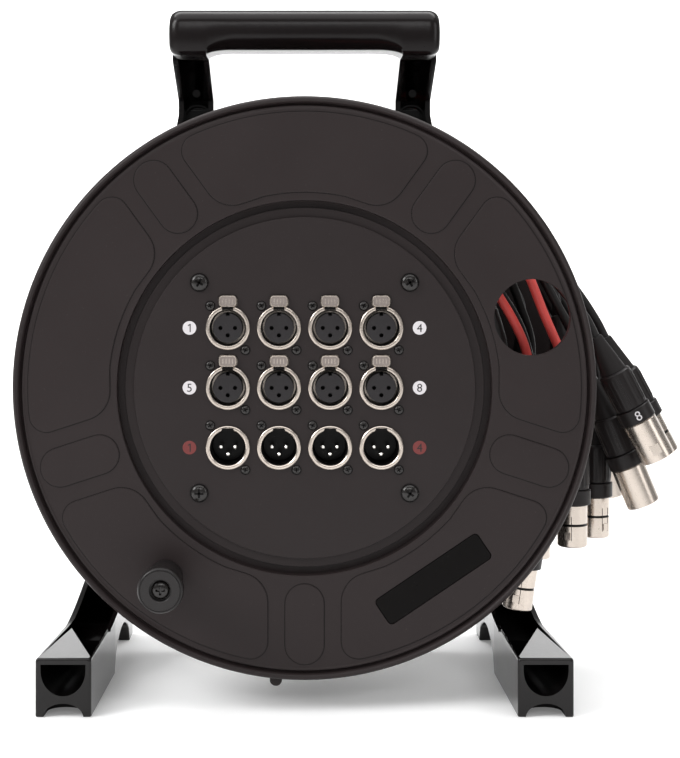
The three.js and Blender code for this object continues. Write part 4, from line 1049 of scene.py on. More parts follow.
def female_end(spin):
    """The insert of a female shell, its holes, groove and two slits in painted shade, and the latch."""
    face = PLUG_LENGTH - 0.6
    parts = [(*upright(disc(FEMALE_SHELL - 1.5, face, face - 1), 32), INSERT)]
    # Painted shade: the contact holes, the groove band and the two slits are near-black.
    hole = disc(PIN_RADIUS, face + 0.05, face - 0.3)
    for x, y in CONTACTS:
        parts.append((*moved(upright(hole, 12, x, y), spin, ZERO), CUP_AND_SHADE))
    groove_shade_band = disc(FEMALE_SHELL - 0.5, GROOVE_AT - 0.55, GROOVE_AT + 0.55)
    parts.append((*upright(groove_shade_band, 48), CUP_AND_SHADE))
    for left, right in ((-2.3, -1.95), (1.95, 2.3)):
        low = (FEMALE_SHELL - 0.6, left, GROOVE_AT - 5)
        high = (FEMALE_SHELL - 0.19, right, PLUG_LENGTH - 4)
        parts.append((*moved(block(low, high), spin, ZERO), CUP_AND_SHADE))
    low = (FEMALE_SHELL - 0.8, -1.6, PLUG_LENGTH - 8.5)
    high = (FEMALE_SHELL + 0.35, 1.6, PLUG_LENGTH - 4.5)
    parts.append((*moved(block(low, high), spin, ZERO), NICKEL))
    return parts


PLUG_BOOT_SECTION = [
    (0, 0),
    (PLUG_TIP - 0.4, 0),
    (PLUG_TIP, 0.5),
    (PLUG_BOOT - 0.4, BOOT_END - 2),
    (PLUG_BOOT, BOOT_END),
    (0, BOOT_END),
]
PLUG_BODY_SECTION = [
    (PLUG_BOOT - 1, BOOT_END),
    (PLUG_BODY - 1.0, BOOT_END + 0.1),
    (PLUG_BODY - 0.2, BOOT_END + 1.0),
    (PLUG_BODY, BOOT_END + 2.2),
    (PLUG_BODY, RING_START - 0.5),
    (PLUG_BODY - 0.5, RING_START - 0.1),
    (0, RING_START),
]
NUMBER_RING_SECTION = [
    (0, RING_START),
    (NUMBER_RING - 0.4, RING_START),
    (NUMBER_RING, RING_START + 0.4),
    (NUMBER_RING, SHELL_START - 0.4),
    (NUMBER_RING - 0.4, SHELL_START),
    (0, SHELL_START),
]


def plug_parts(male, digit, facing):
    """All the parts of a plug along +Z; facing is the angle of its latch and number."""
    flutes, flute_faces = FLUTE_MESH
    lifted = [corner + Vector((0, 0, BOOT_END + 2)) * MM for corner in flutes]
    parts = [
        (*upright(PLUG_BOOT_SECTION, 32), BOOT),
        (*upright(PLUG_BODY_SECTION, 48), PLUG_BLACK),
        (lifted, flute_faces, PLUG_BLACK),
        (*upright(NUMBER_RING_SECTION, 48), PLUG_BLACK),
        (*upright(shell_profile(male), 56), NICKEL),
    ]
    spin = Matrix.Rotation(facing, 3, "Z")
    parts += male_end(spin) if male else female_end(spin)
    if digit:
        middle = (RING_START + SHELL_START) / 2
        parts.append((*ring_digit(digit, facing, NUMBER_RING + 0.05, middle), WHITE_PRINT))
    return parts


def plug_turn(direction):
    """Turns a plug's Z axis onto its direction, with its X axis towards the viewer."""
    z = direction.normalized()
    x = Vector((0, -1, 0))
    x = (x - z * x.dot(z)).normalized()
    return Matrix((x, z.cross(x), z)).transposed()


print("plug parts:", len(plug_parts(True, "8", 0.0)))

# %% [markdown]
# Now each plug goes on its tail. The numbered ones show their digit at slightly different angles,
# as plugs do when they hang on their cables.

# %% The twelve plugs
FACINGS = {
    "send_plug_8": 0.05,
    "send_plug_6": 2.8,
    "return_plug_1": 0.35,
    "return_plug_2": 0.5,
    "return_plug_3": -0.6,
    "return_plug_4": 0.9,
}
FIRST_FACING = -0.9
NEXT_FACING = 0.37
PLUGS = {}
for order, (name, (kind, lay, tip, tilt, by)) in enumerate(FAN_OUT.items()):
    male = kind == "send"
    facing = FACINGS.get(name, FIRST_FACING + NEXT_FACING * order)
    turn = plug_turn(plug_direction(tilt))
    origin = place(*tip)
    digit = name[-1] if male else None
    parts = [(*moved((c, f), turn, origin), m) for c, f, m in plug_parts(male, digit, facing)]
    PLUGS[name] = piece(name + "_dressed", parts, "frame", [name])
    made(PLUGS[name])

# %% [markdown]
# The tails and the boot are mesh tubes along the routes above.

# %% Tails and boot
BLACK_RETURNS = ["return_plug_3", "return_plug_4"]
for name, line in TAIL_LINES.items():
    male = FAN_OUT[name][0] == "send"
    finish = TAIL_BLACK if male or name in BLACK_RETURNS else TAIL_RED
    parts = [(*tube(line, TAIL_RADIUS, 14), finish)]
    tail = piece("tail_of_" + name, parts, "frame", ["fan_out_tails"])
    made(tail)

taper = BOOT_LENGTH * BOOT_TAPER_SHARE
boot_profile = [
    (0, 0),
    (BOOT_BACK - 0.5, 0),
    (BOOT_BACK, 0.5),
    (BOOT_MOUTH, taper),
    (BOOT_MOUTH, BOOT_LENGTH - 0.8),
    (BOOT_MOUTH - 0.8, BOOT_LENGTH),
    (0, BOOT_LENGTH),
]
boot_piece = piece(
    "dividing_boot",
    [(*turned(boot_profile, 48, boot_start, cable_along), BOOT)],
    "frame",
    ["breakout_boot"],
)
made(boot_piece)

# %% [markdown]
# The front cheek is one large moulding. Its section is turned about the drum's axis: an inner ledge
# for the panel, the deep ring groove round it, the flat face, a thin groove near the edge and the
# rolled rim. Turning a section is the surest way to a true circle, and the many small steps in it
# catch the light as the real rim does.

# %% Front cheek
CHEEK_STEPS = 288
WINDOW_RADIUS = 20.7
WINDOW_AT = (123.2, 38.15)
KNOB_DEGREES = 233.7
KNOB_CENTRE = 126.5
KNOB_AT = (
    KNOB_CENTRE * math.cos(math.radians(KNOB_DEGREES)),
    KNOB_CENTRE * math.sin(math.radians(KNOB_DEGREES)),
)
LABEL_LENGTH = 67
LABEL_WIDTH = 16.5
LABEL_CORNER = 2.7
LABEL_CENTRE = 124.5
LABEL_DEGREES = -56
RELIEF = 0.6
LEDGE_INNER = 74
LEDGE_OUTER = 97.6
LEDGE_FRONT = 6.5
RECESS_FLOOR = 9.2
RECESS_OUTER = 101.5
FACE_BACK = 6.2
RIM_BACK = 12
RIM_INNER = 155
KNOB_HOLE = 3.7
POCKET_FRONT = 0.6
POCKET_DEPTH = FACE_DEPTH - RELIEF + 1.0

rim_section = [
    (150.6, FACE_DEPTH),
    (151.3, 2.1),
    (152.0, 1.75),
    (152.6, 1.9),
    (152.9, 2.6),
    (153.2, 3.6),
    (153.7, 4.1),
    (154.2, 3.6),
    (154.5, 1.9),
    (154.9, 0.9),
    (155.5, 0.3),
    (156.2, 0.05),
    (156.9, 0.35),
    (157.5, 1.0),
    (157.9, 2.0),
    (FLANGE_RADIUS, 3.2),
    (FLANGE_RADIUS, RIM_BACK - 0.4),
    (FLANGE_RADIUS - 0.4, RIM_BACK),
]
cheek_section = [
    (LEDGE_INNER, LEDGE_FRONT),
    (LEDGE_OUTER - 0.4, LEDGE_FRONT),
    (LEDGE_OUTER - 0.1, LEDGE_FRONT + 0.1),
    (LEDGE_OUTER, LEDGE_FRONT + 0.4),
    (LEDGE_OUTER, RECESS_FLOOR),
    (RECESS_OUTER, RECESS_FLOOR),
    (RECESS_OUTER, FACE_DEPTH + 0.6),
    (RECESS_OUTER + 0.15, FACE_DEPTH + 0.2),
    (RECESS_OUTER + 0.6, FACE_DEPTH),
    *rim_section,
    (RIM_INNER, RIM_BACK),
    (RIM_INNER, FACE_BACK),
    (RECESS_OUTER + 4, FACE_BACK),
    (RECESS_OUTER + 3, RECESS_FLOOR + 0.3),
    (LEDGE_INNER, RECESS_FLOOR + 0.3),
    (LEDGE_INNER, LEDGE_FRONT),
]


def cylinder_tool(radius, at, depths=(-3, 14), sides=96):
    """A round cutter along the drum's axis."""
    return cutter(round_the_drum(disc(radius, *depths), sides, *at), CHEEK)


def outline_on_drum(points, angle):
    """Flat points turned about the drum's axis."""
    c, s = math.cos(angle), math.sin(angle)
    return [(x * c - z * s, x * s + z * c) for x, z in points]


def prism(points, near, far):
    """A flat outline filled between two depths."""
    return lofted([[on_drum(x, depth, z) for x, z in points] for depth in (near, far)])


def rounded_rectangle(width, height, corner, cx=0.0, cz=0.0, steps=6):
    points = []
    for sx, sz, start in ((1, -1, -0.25), (1, 1, 0.0), (-1, 1, 0.25), (-1, -1, 0.5)):
        x, z = cx + sx * (width / 2 - corner), cz + sz * (height / 2 - corner)
        points += arc(x, z, corner, corner, start, start + 0.25, steps)
    return points


def label_outline(inset=0.0):
    flat = rounded_rectangle(
        LABEL_LENGTH - 2 * inset, LABEL_WIDTH - 2 * inset, LABEL_CORNER - inset, 0, LABEL_CENTRE
    )
    return outline_on_drum(flat, math.radians(LABEL_DEGREES) - TURN / 4)


def cheek_cutters():
    """The window, the label's pocket and the knob's hole, for the cheek and what stands on it."""
    window = cylinder_tool(WINDOW_RADIUS, WINDOW_AT)
    pocket = cutter(prism(label_outline(), POCKET_FRONT, POCKET_DEPTH), CHEEK)
    return [window, pocket, cylinder_tool(KNOB_HOLE, KNOB_AT, sides=32)]


front_cheek = piece("front_cheek", [(*round_the_drum(cheek_section, CHEEK_STEPS), CHEEK)], None)
cut_by(front_cheek, cheek_cutters())
finished(front_cheek, 30, "drum", ["front_flange"])

# %% [markdown]
# A fivefold relief stands out of the cheek by little more than half a millimetre: five round-ended
# bars and, between them, five petals. Seen from the front only their edges show, as thin lines.
# Each shape is a flat outline whose edge is rounded over in three steps, with a narrow fillet round
# its foot that is painted darker as shade. The five copies come from the Geometry Nodes tree for
# copies round an axis.

# %% Relief shapes
OBROUND_WIDTH = 21
RELIEF_INNER = 106
RELIEF_OUTER = 149.5
PETAL_GAP = 20
PETAL_INNER_ROUND = 16
PETAL_OUTER_ROUND = 9


def filleted(points, radii, steps=10):
    """A closed outline whose corners are rounded; a radius of zero keeps a corner."""
    result = []
    count = len(points)
    for i, (point, radius) in enumerate(zip(points, radii)):
        if radius == 0:
            result.append(point)
            continue
        p = Vector(point)
        a = (Vector(points[i - 1]) - p).normalized()
        b = (Vector(points[(i + 1) % count]) - p).normalized()
        half = math.acos(max(-1, min(1, a.dot(b)))) / 2
        reach = radius / math.tan(half)
        centre = p + (a + b).normalized() * radius / math.sin(half)
        start, end = p + a * reach, p + b * reach
        for k in range(steps + 1):
            t = k / steps
            arm = (start - centre) * (1 - t) + (end - centre) * t
            spot = centre + arm.normalized() * radius
            result.append((spot.x, spot.y))
    return result


def obround_outline(steps=14):
    r = OBROUND_WIDTH / 2
    outer = arc(RELIEF_OUTER - r, 0, r, r, -0.25, 0.25, steps)
    return outer + arc(RELIEF_INNER + r, 0, r, r, 0.25, 0.75, steps)


def petal_outline():
    """A petal about the X axis, between two bars, going round from its lower outer corner."""
    half = TURN / 10
    points, radii = [], []
    for radius, corner, side, steps in (
        (RELIEF_OUTER, PETAL_OUTER_ROUND, -1, 20),
        (RELIEF_INNER, PETAL_INNER_ROUND, 1, 12),
    ):
        along = math.sqrt(radius**2 - PETAL_GAP**2)
        x = along * math.cos(half) + PETAL_GAP * math.sin(half)
        z = along * math.sin(half) - PETAL_GAP * math.cos(half)
        share = side * (math.atan2(z, x) - 1.5 * corner / radius) / TURN
        points += [(x, side * z), *arc(0, 0, radius, radius, share, -share, steps), (x, -side * z)]
        radii += [corner, *[0] * (steps + 1), corner]
    return filleted(points, radii)


def inset_outline(points, distance):
    """The outline drawn in by a distance, corner by corner."""
    result = []
    count = len(points)
    for i, point in enumerate(points):
        p = Vector(point)
        a = (p - Vector(points[i - 1])).normalized()
        b = (Vector(points[(i + 1) % count]) - p).normalized()
        normal = Vector((-(a.y + b.y), a.x + b.x))
        if normal.length < 1e-9:
            normal = Vector((-a.y, a.x))
        spot = p + normal.normalized() * distance
        result.append((spot.x, spot.y))
    return result


RELIEF_LEVELS = [
    (0.0, 0.5),
    (0.0, -RELIEF * 0.55),
    (0.12, -RELIEF * 0.82),
    (0.34, -RELIEF * 0.96),
    (0.6, -RELIEF),
]  # inset, rise
LINE_OUT = 0.45
LINE_IN = 0.15
LINE_PROUD = 0.04
LINE_LEVELS = [
    (-LINE_OUT, 0.3),
    (-LINE_OUT, 0.0),
    (-LINE_OUT / 2, -LINE_PROUD),
    (LINE_IN, -2 * LINE_PROUD),
    (LINE_IN, 0.3),
]


def outline_rings(points, levels):
    return [[Vector((x, z, -rise)) * MM for x, z in inset_outline(points, inset)] for inset, rise in levels]


def raised_field(points):
    """An outline raised from under the face, with a rounded edge, about the Z axis."""
    return lofted(outline_rings(points, RELIEF_LEVELS))


def field_line(points):
    """The narrow fillet at the foot of a raised outline, painted darker as shade."""
    corners, faces = lofted(outline_rings(points, LINE_LEVELS), False)
    count = len(points)
    last = len(corners) - count
    faces += [[last + i, last + (i + 1) % count, (i + 1) % count, i] for i in range(count)]
    return corners, faces


def five_times(name, shape, finish):
    """A petal and a bar made by one of the functions above, five times round the axis."""
    bar, bar_faces = shape(obround_outline())
    turned_bar = [Matrix.Rotation(TURN / 10, 3, "Z") @ c for c in bar]
    source = piece(name, [(*shape(petal_outline()), finish), (turned_bar, bar_faces, finish)], None)
    return round_axis(name, source, 5, 0, finish, TURN / 4)


RELIEF_MESHES = [
    ("relief", five_times("relief", raised_field, CHEEK), CHEEK),
    ("relief_lines", five_times("relief_lines", field_line, RELIEF_SHADE), RELIEF_SHADE),
]

# %% [markdown]
# The tree works about Z, so the ring of copies is stood up to face the front. It is cut by the same
# window, pocket and knob hole as the cheek that it stands on. One bar points straight down, the
# others follow every 72 degrees, and the petals lie between them.

# %% The relief on the front cheek
STAND_UP = Matrix(((1, 0, 0), (0, 0, -1), (0, 1, 0)))


def relief_on(name, mesh, finish, depth, flip=False):
    corners, faces = mesh
    side = -1 if flip else 1
    spots = []
    for corner in corners:
        spot = STAND_UP @ corner
        spots.append(Vector((spot.x, spot.y * side, spot.z)) + on_drum(0, depth, 0))
    return piece(name, [(spots, faces, finish)], None)


for name, mesh, finish in RELIEF_MESHES:
    front_relief = relief_on("front_" + name, mesh, finish, FACE_DEPTH)
    cut_by(front_relief, cheek_cutters())
    finished(front_relief, 30, "drum", ())

# %% [markdown]
# A small lug with a round end sticks out below the rim. In the label's pocket lies a bare plate,
# glossier than the cheek round it.

# %% Lug and label plate
LUG_DEGREES = -95.6
LUG_HALF = 3.35
LUG_TIP = 163.5
LUG_ROOT = 156.5
LUG_DEPTHS = (7, 12)


def lug():
    """A tongue with a round end, from inside the rim to just outside it."""
    round_end = arc(0, LUG_HALF - LUG_TIP, LUG_HALF, LUG_HALF, 0.5, 1.0, 12)
    points = [*round_end, (LUG_HALF, -LUG_ROOT), (-LUG_HALF, -LUG_ROOT)]
    points = outline_on_drum(points, math.radians(LUG_DEGREES) + TURN / 4)
    return prism(points, *LUG_DEPTHS)


lug_piece = piece("rim_lug", [(*lug(), CHEEK)], None)
edged(lug_piece, 0.6)
finished(lug_piece, 40, "drum", ())

LABEL_THICKNESS = 0.6
label_back = POCKET_DEPTH - FIT / 2
label_plate = prism(label_outline(FIT), label_back - LABEL_THICKNESS, label_back)
label_piece = piece("label_plate_dressed", [(*label_plate, LABEL)], None)
edged(label_piece, 0.25, 2)
finished(label_piece, 40, "drum", ["label_plate"])

# %% [markdown]
# The connector panel is a round sheet of powder coated metal, a millimetre behind the cheek's face.
# Its holes are cut for real, because the sockets' hollows go through it.

# %% Connector panel
PANEL_RADIUS = 92.5
COLUMNS = [-41.55, -13.85, 13.85, 41.55]
ROWS = [32.4, 0.0, -32.4]
PLACES = [(x, z) for z in ROWS for x in COLUMNS]
FEMALE_PLACES = PLACES[:8]
MALE_PLACES = PLACES[8:]
RING_RADIUS = 11.85
TAB_ABOVE = 14.5
TAB_SLOT = (10.6, 7, 2.5)  # width, height, corner
SCREW_OFFSET = 57
THROUGH_PANEL = (2, 8)  # depths from before the panel to behind it

panel_section = [
    (0, PANEL_FRONT),
    (PANEL_RADIUS - 0.5, PANEL_FRONT),
    (PANEL_RADIUS - 0.15, PANEL_FRONT + 0.15),
    (PANEL_RADIUS, PANEL_FRONT + 0.5),
    (PANEL_RADIUS, PANEL_BACK),
    (0, PANEL_BACK),
]
panel_piece = piece("connector_panel_dressed", [(*round_the_drum(panel_section, 256), PANEL)], None)
panel_tools = []
for x, z in PLACES:
    panel_tools.append(cylinder_tool(RING_RADIUS + FIT / 2, (x, z), THROUGH_PANEL, 64))
    if (x, z) in FEMALE_PLACES:
        slot = rounded_rectangle(*TAB_SLOT, x, z + TAB_ABOVE)
        panel_tools.append(cutter(prism(slot, *THROUGH_PANEL), PANEL))
cut_by(panel_piece, panel_tools)
finished(panel_piece, 30, "drum", ["connector_panel"])

# %% [markdown]
# A panel socket has a nickel shell whose front ring stands proud of the panel, and a plastic insert
# with three contact holes. Between them is the deep gap that the mating shell enters. The gap's wall
# and the contact holes are lined in near-black as painted shade. A notch at the top of the ring
# takes the latch's stem. The notch is cut, and all else is turned.

# %% Sockets of the upper rows
RING_FRONT = PANEL_FRONT - 1.6
MOUNT_FRONT = PANEL_BACK + FIT
SHELL_BACK = MOUNT_FRONT + 22
SHELL_BORE = 9.5
WELL_BACK = RING_FRONT + 12
front_ring = [
    (9.75, RING_FRONT + 0.45),
    (10.2, RING_FRONT + 0.08),
    (10.7, RING_FRONT),
    (11.4, RING_FRONT + 0.1),
    (11.75, RING_FRONT + 0.4),
    (RING_RADIUS, RING_FRONT + 0.9),
    (RING_RADIUS, SHELL_BACK),
    (0, SHELL_BACK),
]
socket_shell_section = [
    (SHELL_BORE, WELL_BACK),
    (SHELL_BORE, RING_FRONT + 1.1),
    *front_ring,
    (0, WELL_BACK),
    (SHELL_BORE, WELL_BACK),
]
INSERT_RADIUS = 8.05
insert_section = [
    (0, RING_FRONT + 1.0),
    (7.5, RING_FRONT + 1.0),
    (7.9, RING_FRONT + 1.15),
    (INSERT_RADIUS, RING_FRONT + 1.6),
    (INSERT_RADIUS, WELL_BACK + 0.2),
    (0, WELL_BACK + 0.2),
]
SOCKET_CONTACTS = [(x, -z) for x, z in CONTACTS]
FLANGE_PLATE = (26, 31, 3)  # width, height, corner
FLANGE_THICKNESS = 2
FLANGE_HOLE = 11.0
THROUGH_FLANGE = (4, 10)
NOTCH_HALF = 3.1
NOTCH_REACH = (8.6, 13)  # heights over the socket's middle
SLOT_REACH = (11.3, 17)
KEY_HALF = 1.0
KEY_REACH = (6.6, 9)
CONTACT_DEPTH = 8
SHADE_LINING_OUTER = 1.14
SHADE_LINING_INNER = 1.08


def mesh_of(obj):
    """An object's corners and faces by finish, and the object removed."""
    parts = []
    for index, material in enumerate(obj.data.materials):
        faces = [list(p.vertices) for p in obj.data.polygons if p.material_index == index]
        used = sorted({v for face in faces for v in face})
        where = {v: i for i, v in enumerate(used)}
        corners = [obj.data.vertices[v].co.copy() for v in used]
        parts.append((corners, [[where[v] for v in face] for face in faces], material))
    bpy.data.objects.remove(obj)
    return parts


def mount_flange(slotted):
    """The plate behind the panel that the shell is cast with."""
    plate = prism(rounded_rectangle(*FLANGE_PLATE), MOUNT_FRONT, MOUNT_FRONT + FLANGE_THICKNESS)
    shape = piece("flange", [(*plate, NICKEL)], None)
    tools = [cylinder_tool(FLANGE_HOLE, (0, 0), THROUGH_FLANGE, 48)]
    if slotted:
        slot = flat_box(-NOTCH_HALF, NOTCH_HALF, *SLOT_REACH)
        tools.append(cutter(prism(slot, *THROUGH_FLANGE), NICKEL))
    cut_by(shape, tools)
    return mesh_of(shape)


def socket_parts():
    shell = piece("shell", [(*round_the_drum(socket_shell_section, 96), NICKEL)], None)
    notch = flat_box(-NOTCH_HALF, NOTCH_HALF, *NOTCH_REACH)
    cut_by(shell, [cutter(prism(notch, -2, 9.5), NICKEL)])
    insert = piece("insert", [(*round_the_drum(insert_section, 72), INSERT)], None)
    depths = (0, RING_FRONT + CONTACT_DEPTH)
    tools = [cylinder_tool(PIN_RADIUS, spot, depths, 24) for spot in SOCKET_CONTACTS]
    tools.append(cutter(prism(flat_box(-KEY_HALF, KEY_HALF, *KEY_REACH), 0, 12), INSERT))
    cut_by(insert, tools)
    parts = mesh_of(shell) + mesh_of(insert)
    # Painted shade: near-black linings in the contact holes.
    near, far = RING_FRONT + 1.05, RING_FRONT + CONTACT_DEPTH - 0.1
    shade_lining = [
        (SHADE_LINING_OUTER, near),
        (SHADE_LINING_OUTER, far),
        (0, far),
        (0, far - 0.2),
        (SHADE_LINING_INNER, far - 0.2),
        (SHADE_LINING_INNER, near),
        (SHADE_LINING_OUTER, near),
    ]
    for x, z in SOCKET_CONTACTS:
        parts.append((*round_the_drum(shade_lining, 24, x, z), CUP_AND_SHADE))
    # Painted shade: the gap's wall is near-black in place of nickel.
    wall = [
        (9.46, RING_FRONT + 0.75),
        (9.2, RING_FRONT + 1.2),
        (9.1, WELL_BACK + 0.1),
        (7.9, WELL_BACK + 0.1),
    ]
    parts.append((*round_the_drum(wall, 72), CUP_AND_SHADE))
    return parts + mount_flange(True)


def shifted(parts, x, z):
    offset = Vector((x, 0, z)) * MM
    return [([corner + offset for corner in corners], faces, material) for corners, faces, material in parts]


SOCKET_PARTS = socket_parts()
for number, (x, z) in enumerate(FEMALE_PLACES, 1):
    name = f"female_socket_{number}"
    made(piece(name + "_dressed", shifted(SOCKET_PARTS, x, z), "drum", [name], 30))

# %% [markdown]
# The lower row has inlets: a shell with the same front ring, a black cup inside and three bright
# pins. A key way at the top of the cup shows as a dark gap in the ring.

# %% Inlets of the lower row
CUP_FLOOR = RING_FRONT + 13
inlet_shell_section = [
    (SHELL_BORE, RING_FRONT + 1.3),
    *front_ring,
    (0, SHELL_BACK - 2),
    (SHELL_BORE, SHELL_BACK - 2),
    (SHELL_BORE, RING_FRONT + 1.3),
]
cup_section = [
    (0, CUP_FLOOR),
    (8.6, CUP_FLOOR),
    (8.9, CUP_FLOOR - 0.4),
    (9.3, RING_FRONT + 1.5),
    (9.48, RING_FRONT + 1.3),
    (9.48, CUP_FLOOR + 2),
    (0, CUP_FLOOR + 2),
]


def key_way(low, high):
    """The key way's outline at the top of the cup, narrower above."""
    return [(-3.6, low), (3.6, low), (2.9, high), (-2.9, high)]


def inlet_parts():
    shell = piece("shell", [(*round_the_drum(inlet_shell_section, 96), NICKEL)], None)
    cut_by(shell, [cutter(prism(key_way(9.0, 10.6), 0, RING_FRONT + 3), NICKEL)])
    parts = mesh_of(shell)
    parts.append((*round_the_drum(cup_section, 72), CUP_AND_SHADE))
    parts.append((*prism(key_way(9.1, 10.55), RING_FRONT + 1.2, RING_FRONT + 3), CUP_AND_SHADE))
    pin = [
        (0, CUP_FLOOR - 10),
        (PIN_RADIUS * 0.4, CUP_FLOOR - 9.95),
        (PIN_RADIUS * 0.8, CUP_FLOOR - 9.6),
        (PIN_RADIUS, CUP_FLOOR - 9),
        (PIN_RADIUS, CUP_FLOOR),
        (0, CUP_FLOOR),
    ]
    for x, z in SOCKET_CONTACTS:
        parts.append((*round_the_drum(pin, 24, x, z), PIN))
    return parts + mount_flange(False)


INLET_PARTS = inlet_parts()
for number, (x, z) in enumerate(MALE_PLACES, 1):
    name = f"male_inlet_{number}"
    made(piece(name + "_dressed", shifted(INLET_PARTS, x, z), "drum", [name], 30))

# %% [markdown]
# Each socket has a push tab over it that frees the plug. It is a small rounded nickel button, and it
# carries four low ribs for the thumb. Its stem runs down into the notch of the ring, near-black as
# painted shade. A tab moves by itself, so each is a piece on its own body.

# %% Push tabs
TAB_FACE = PANEL_FRONT - 1.9
TAB_WIDTH = 10
TAB_HEIGHT = 6.4
TAB_CORNER = 2.2
TAB_LEVELS = [(0, 1.6), (0, 0.6), (0.12, 0.25), (0.4, 0.0), (0.75, 0.0), (0.85, 0.35)]  # inset, depth
TAB_RIM = 0.9
STEM_HALF = 2.8
STEM_DROP = 4.55  # below the tab's middle
STEM_BACK = 12
RIB_PITCH = 1.7
RIB_HALF = 0.28
RIB_REACH = 1.3


def tab_outline(inset, x, z):
    return rounded_rectangle(TAB_WIDTH - 2 * inset, TAB_HEIGHT - 2 * inset, TAB_CORNER - inset, x, z)


def tab_object(name, x, z):
    """One tab round its middle: its rounded rim, inner plate, stem in painted shade and ribs."""
    rings = []
    for inset, depth in TAB_LEVELS:
        rings.append([on_drum(px, TAB_FACE + depth, pz) for px, pz in tab_outline(inset, x, z)])
    plate = prism(tab_outline(TAB_RIM, x, z), TAB_FACE + 0.3, TAB_FACE + 0.5)
    # Painted shade: the stem is near-black where it sits in the notch.
    stem_shape = flat_box(x - STEM_HALF, x + STEM_HALF, z - STEM_DROP, z)
    stem = prism(stem_shape, TAB_FACE + 1.3, STEM_BACK)
    parts = [(*lofted(rings), NICKEL), (*stem, CUP_AND_SHADE), (*plate, TAB_METAL)]
    for step in (-1.5, -0.5, 0.5, 1.5):
        middle = x + step * RIB_PITCH
        rib_shape = flat_box(middle - RIB_HALF, middle + RIB_HALF, z - RIB_REACH, z + RIB_REACH)
        parts.append((*prism(rib_shape, TAB_FACE + 0.12, TAB_FACE + 0.4), NICKEL))
    return piece(name, parts, None)


for number, (x, z) in enumerate(FEMALE_PLACES, 1):
    name = f"push_tab_{number}"
    finished(tab_object(name + "_dressed", x, z + TAB_ABOVE), 40, name, [name])

# %% [markdown]
# A cross-recessed screw is a domed head with a cross cut into it. The cross is two tapered bars,
# cut from a turned head. The copies on a guide's corners give 24 small ones beside the connectors
# and four large ones at the panel's corners, each turned by its own angle.


# %% Screws
def cross_bars(cross, thickness, levels):
    """The two bars of a cross recess, each lofted through levels of (y, share of its size)."""
    bars = []
    for a in (0, TURN / 4):
        c, s = math.cos(a), math.sin(a)
        rings = []
        for y, share in levels:
            long, thin = cross * share, cross * thickness * share
            flat = flat_box(-long, long, -thin, thin)
            rings.append([Vector((x * c - z * s, y, x * s + z * c)) * MM for x, z in flat])
        bars.append(lofted(rings))
    return bars


def screw_head(radius, height, cross, depth):
    """A cross-recessed pan head at the origin, looking along -Y, its underside at y = 0."""
    section = [
        (0, -height),
        (radius * 0.45, -height * 0.97),
        (radius * 0.75, -height * 0.82),
        (radius * 0.93, -height * 0.5),
        (radius, -height * 0.2),
        (radius, 0),
        (0, 0),
    ]
    head = piece("screw_head", [(*turned(section, 40, ZERO), BLACK_SCREW)], None)
    bars = cross_bars(cross, 0.24, ((-height - 0.5, 1.0), (-height + depth, 0.55)))
    cut_by(head, [cutter(bar, BLACK_SCREW) for bar in bars])
    smooth_by_angle(head, 30)
    return head


def screw_shade_marks(radius, height, cross, depth):
    """Painted shade: a near-black ring round a head and a near-black cross in its recess."""
    gap = [
        (radius - 0.15, -0.06),
        (radius + 0.4, -0.06),
        (radius + 0.4, 0.1),
        (radius - 0.15, 0.1),
        (radius - 0.15, -0.06),
    ]
    bars = cross_bars(cross, 0.2, ((-height + 0.3, 0.9), (-height + depth + 0.1, 0.6)))
    return piece("seat", [(*turned(gap, 40, ZERO), CUP_AND_SHADE), *[(*bar, CUP_AND_SHADE) for bar in bars]], None)


SMALL_SCREW = (2.4, 1.1, 1.6, 0.8)  # radius, height, size of the cross and its depth
LARGE_SCREW = (4.7, 2.2, 2.9, 1.4)
KNOB_SCREW = (4.8, 2.0, 2.9, 1.4)
SCREW_ASIDE = 9.5  # of a connector's middle
SCREW_BELOW = 12
small_spots = []
for row, z in enumerate(ROWS):
    for column, x in enumerate(COLUMNS):
        for side in (-1, 1):
            spot = on_drum(x + side * SCREW_ASIDE, PANEL_FRONT, z - side * SCREW_BELOW)
            slot_turn = 0.7 * row + 1.3 * column + 0.4 * side
            small_spots.append((spot, slot_turn))
connector_screws = copied("connector_screws", screw_head(*SMALL_SCREW), small_spots, BLACK_SCREW)
settle(connector_screws, "drum", ())
made(connector_screws)
# Painted shade under each small screw: a near-black ring and cross.
connector_screw_shades = copied("connector_screw_seats", screw_shade_marks(*SMALL_SCREW), small_spots, CUP_AND_SHADE)
settle(connector_screw_shades, "drum", ())

FIRST_SLOT = 0.5  # the turn of the first screw's cross
NEXT_SLOT = 0.55
corner_places = ((-1, 1), (1, 1), (-1, -1), (1, -1))
for i, (sx, sz) in enumerate(corner_places):
    spot = on_drum(sx * SCREW_OFFSET, PANEL_FRONT - FIT, sz * SCREW_OFFSET)
    places = [(spot, FIRST_SLOT + NEXT_SLOT * i)]
    name = f"panel_screw_{i + 1}"
    screw = copied(name + "_dressed", screw_head(*LARGE_SCREW), places, BLACK_SCREW)
    settle(screw, "drum", [name])
    # Painted shade under each large screw: a near-black ring and cross.
    seat = copied(name + "_seat", screw_shade_marks(*LARGE_SCREW), places, CUP_AND_SHADE)
    settle(seat, "drum", ())
made(screw)

# %% [markdown]
# Round badges number the ends of each row: white ones for the sends, red ones for the returns. A
# badge is a disc of paint a tenth of a millimetre thick, with its digit just above it.

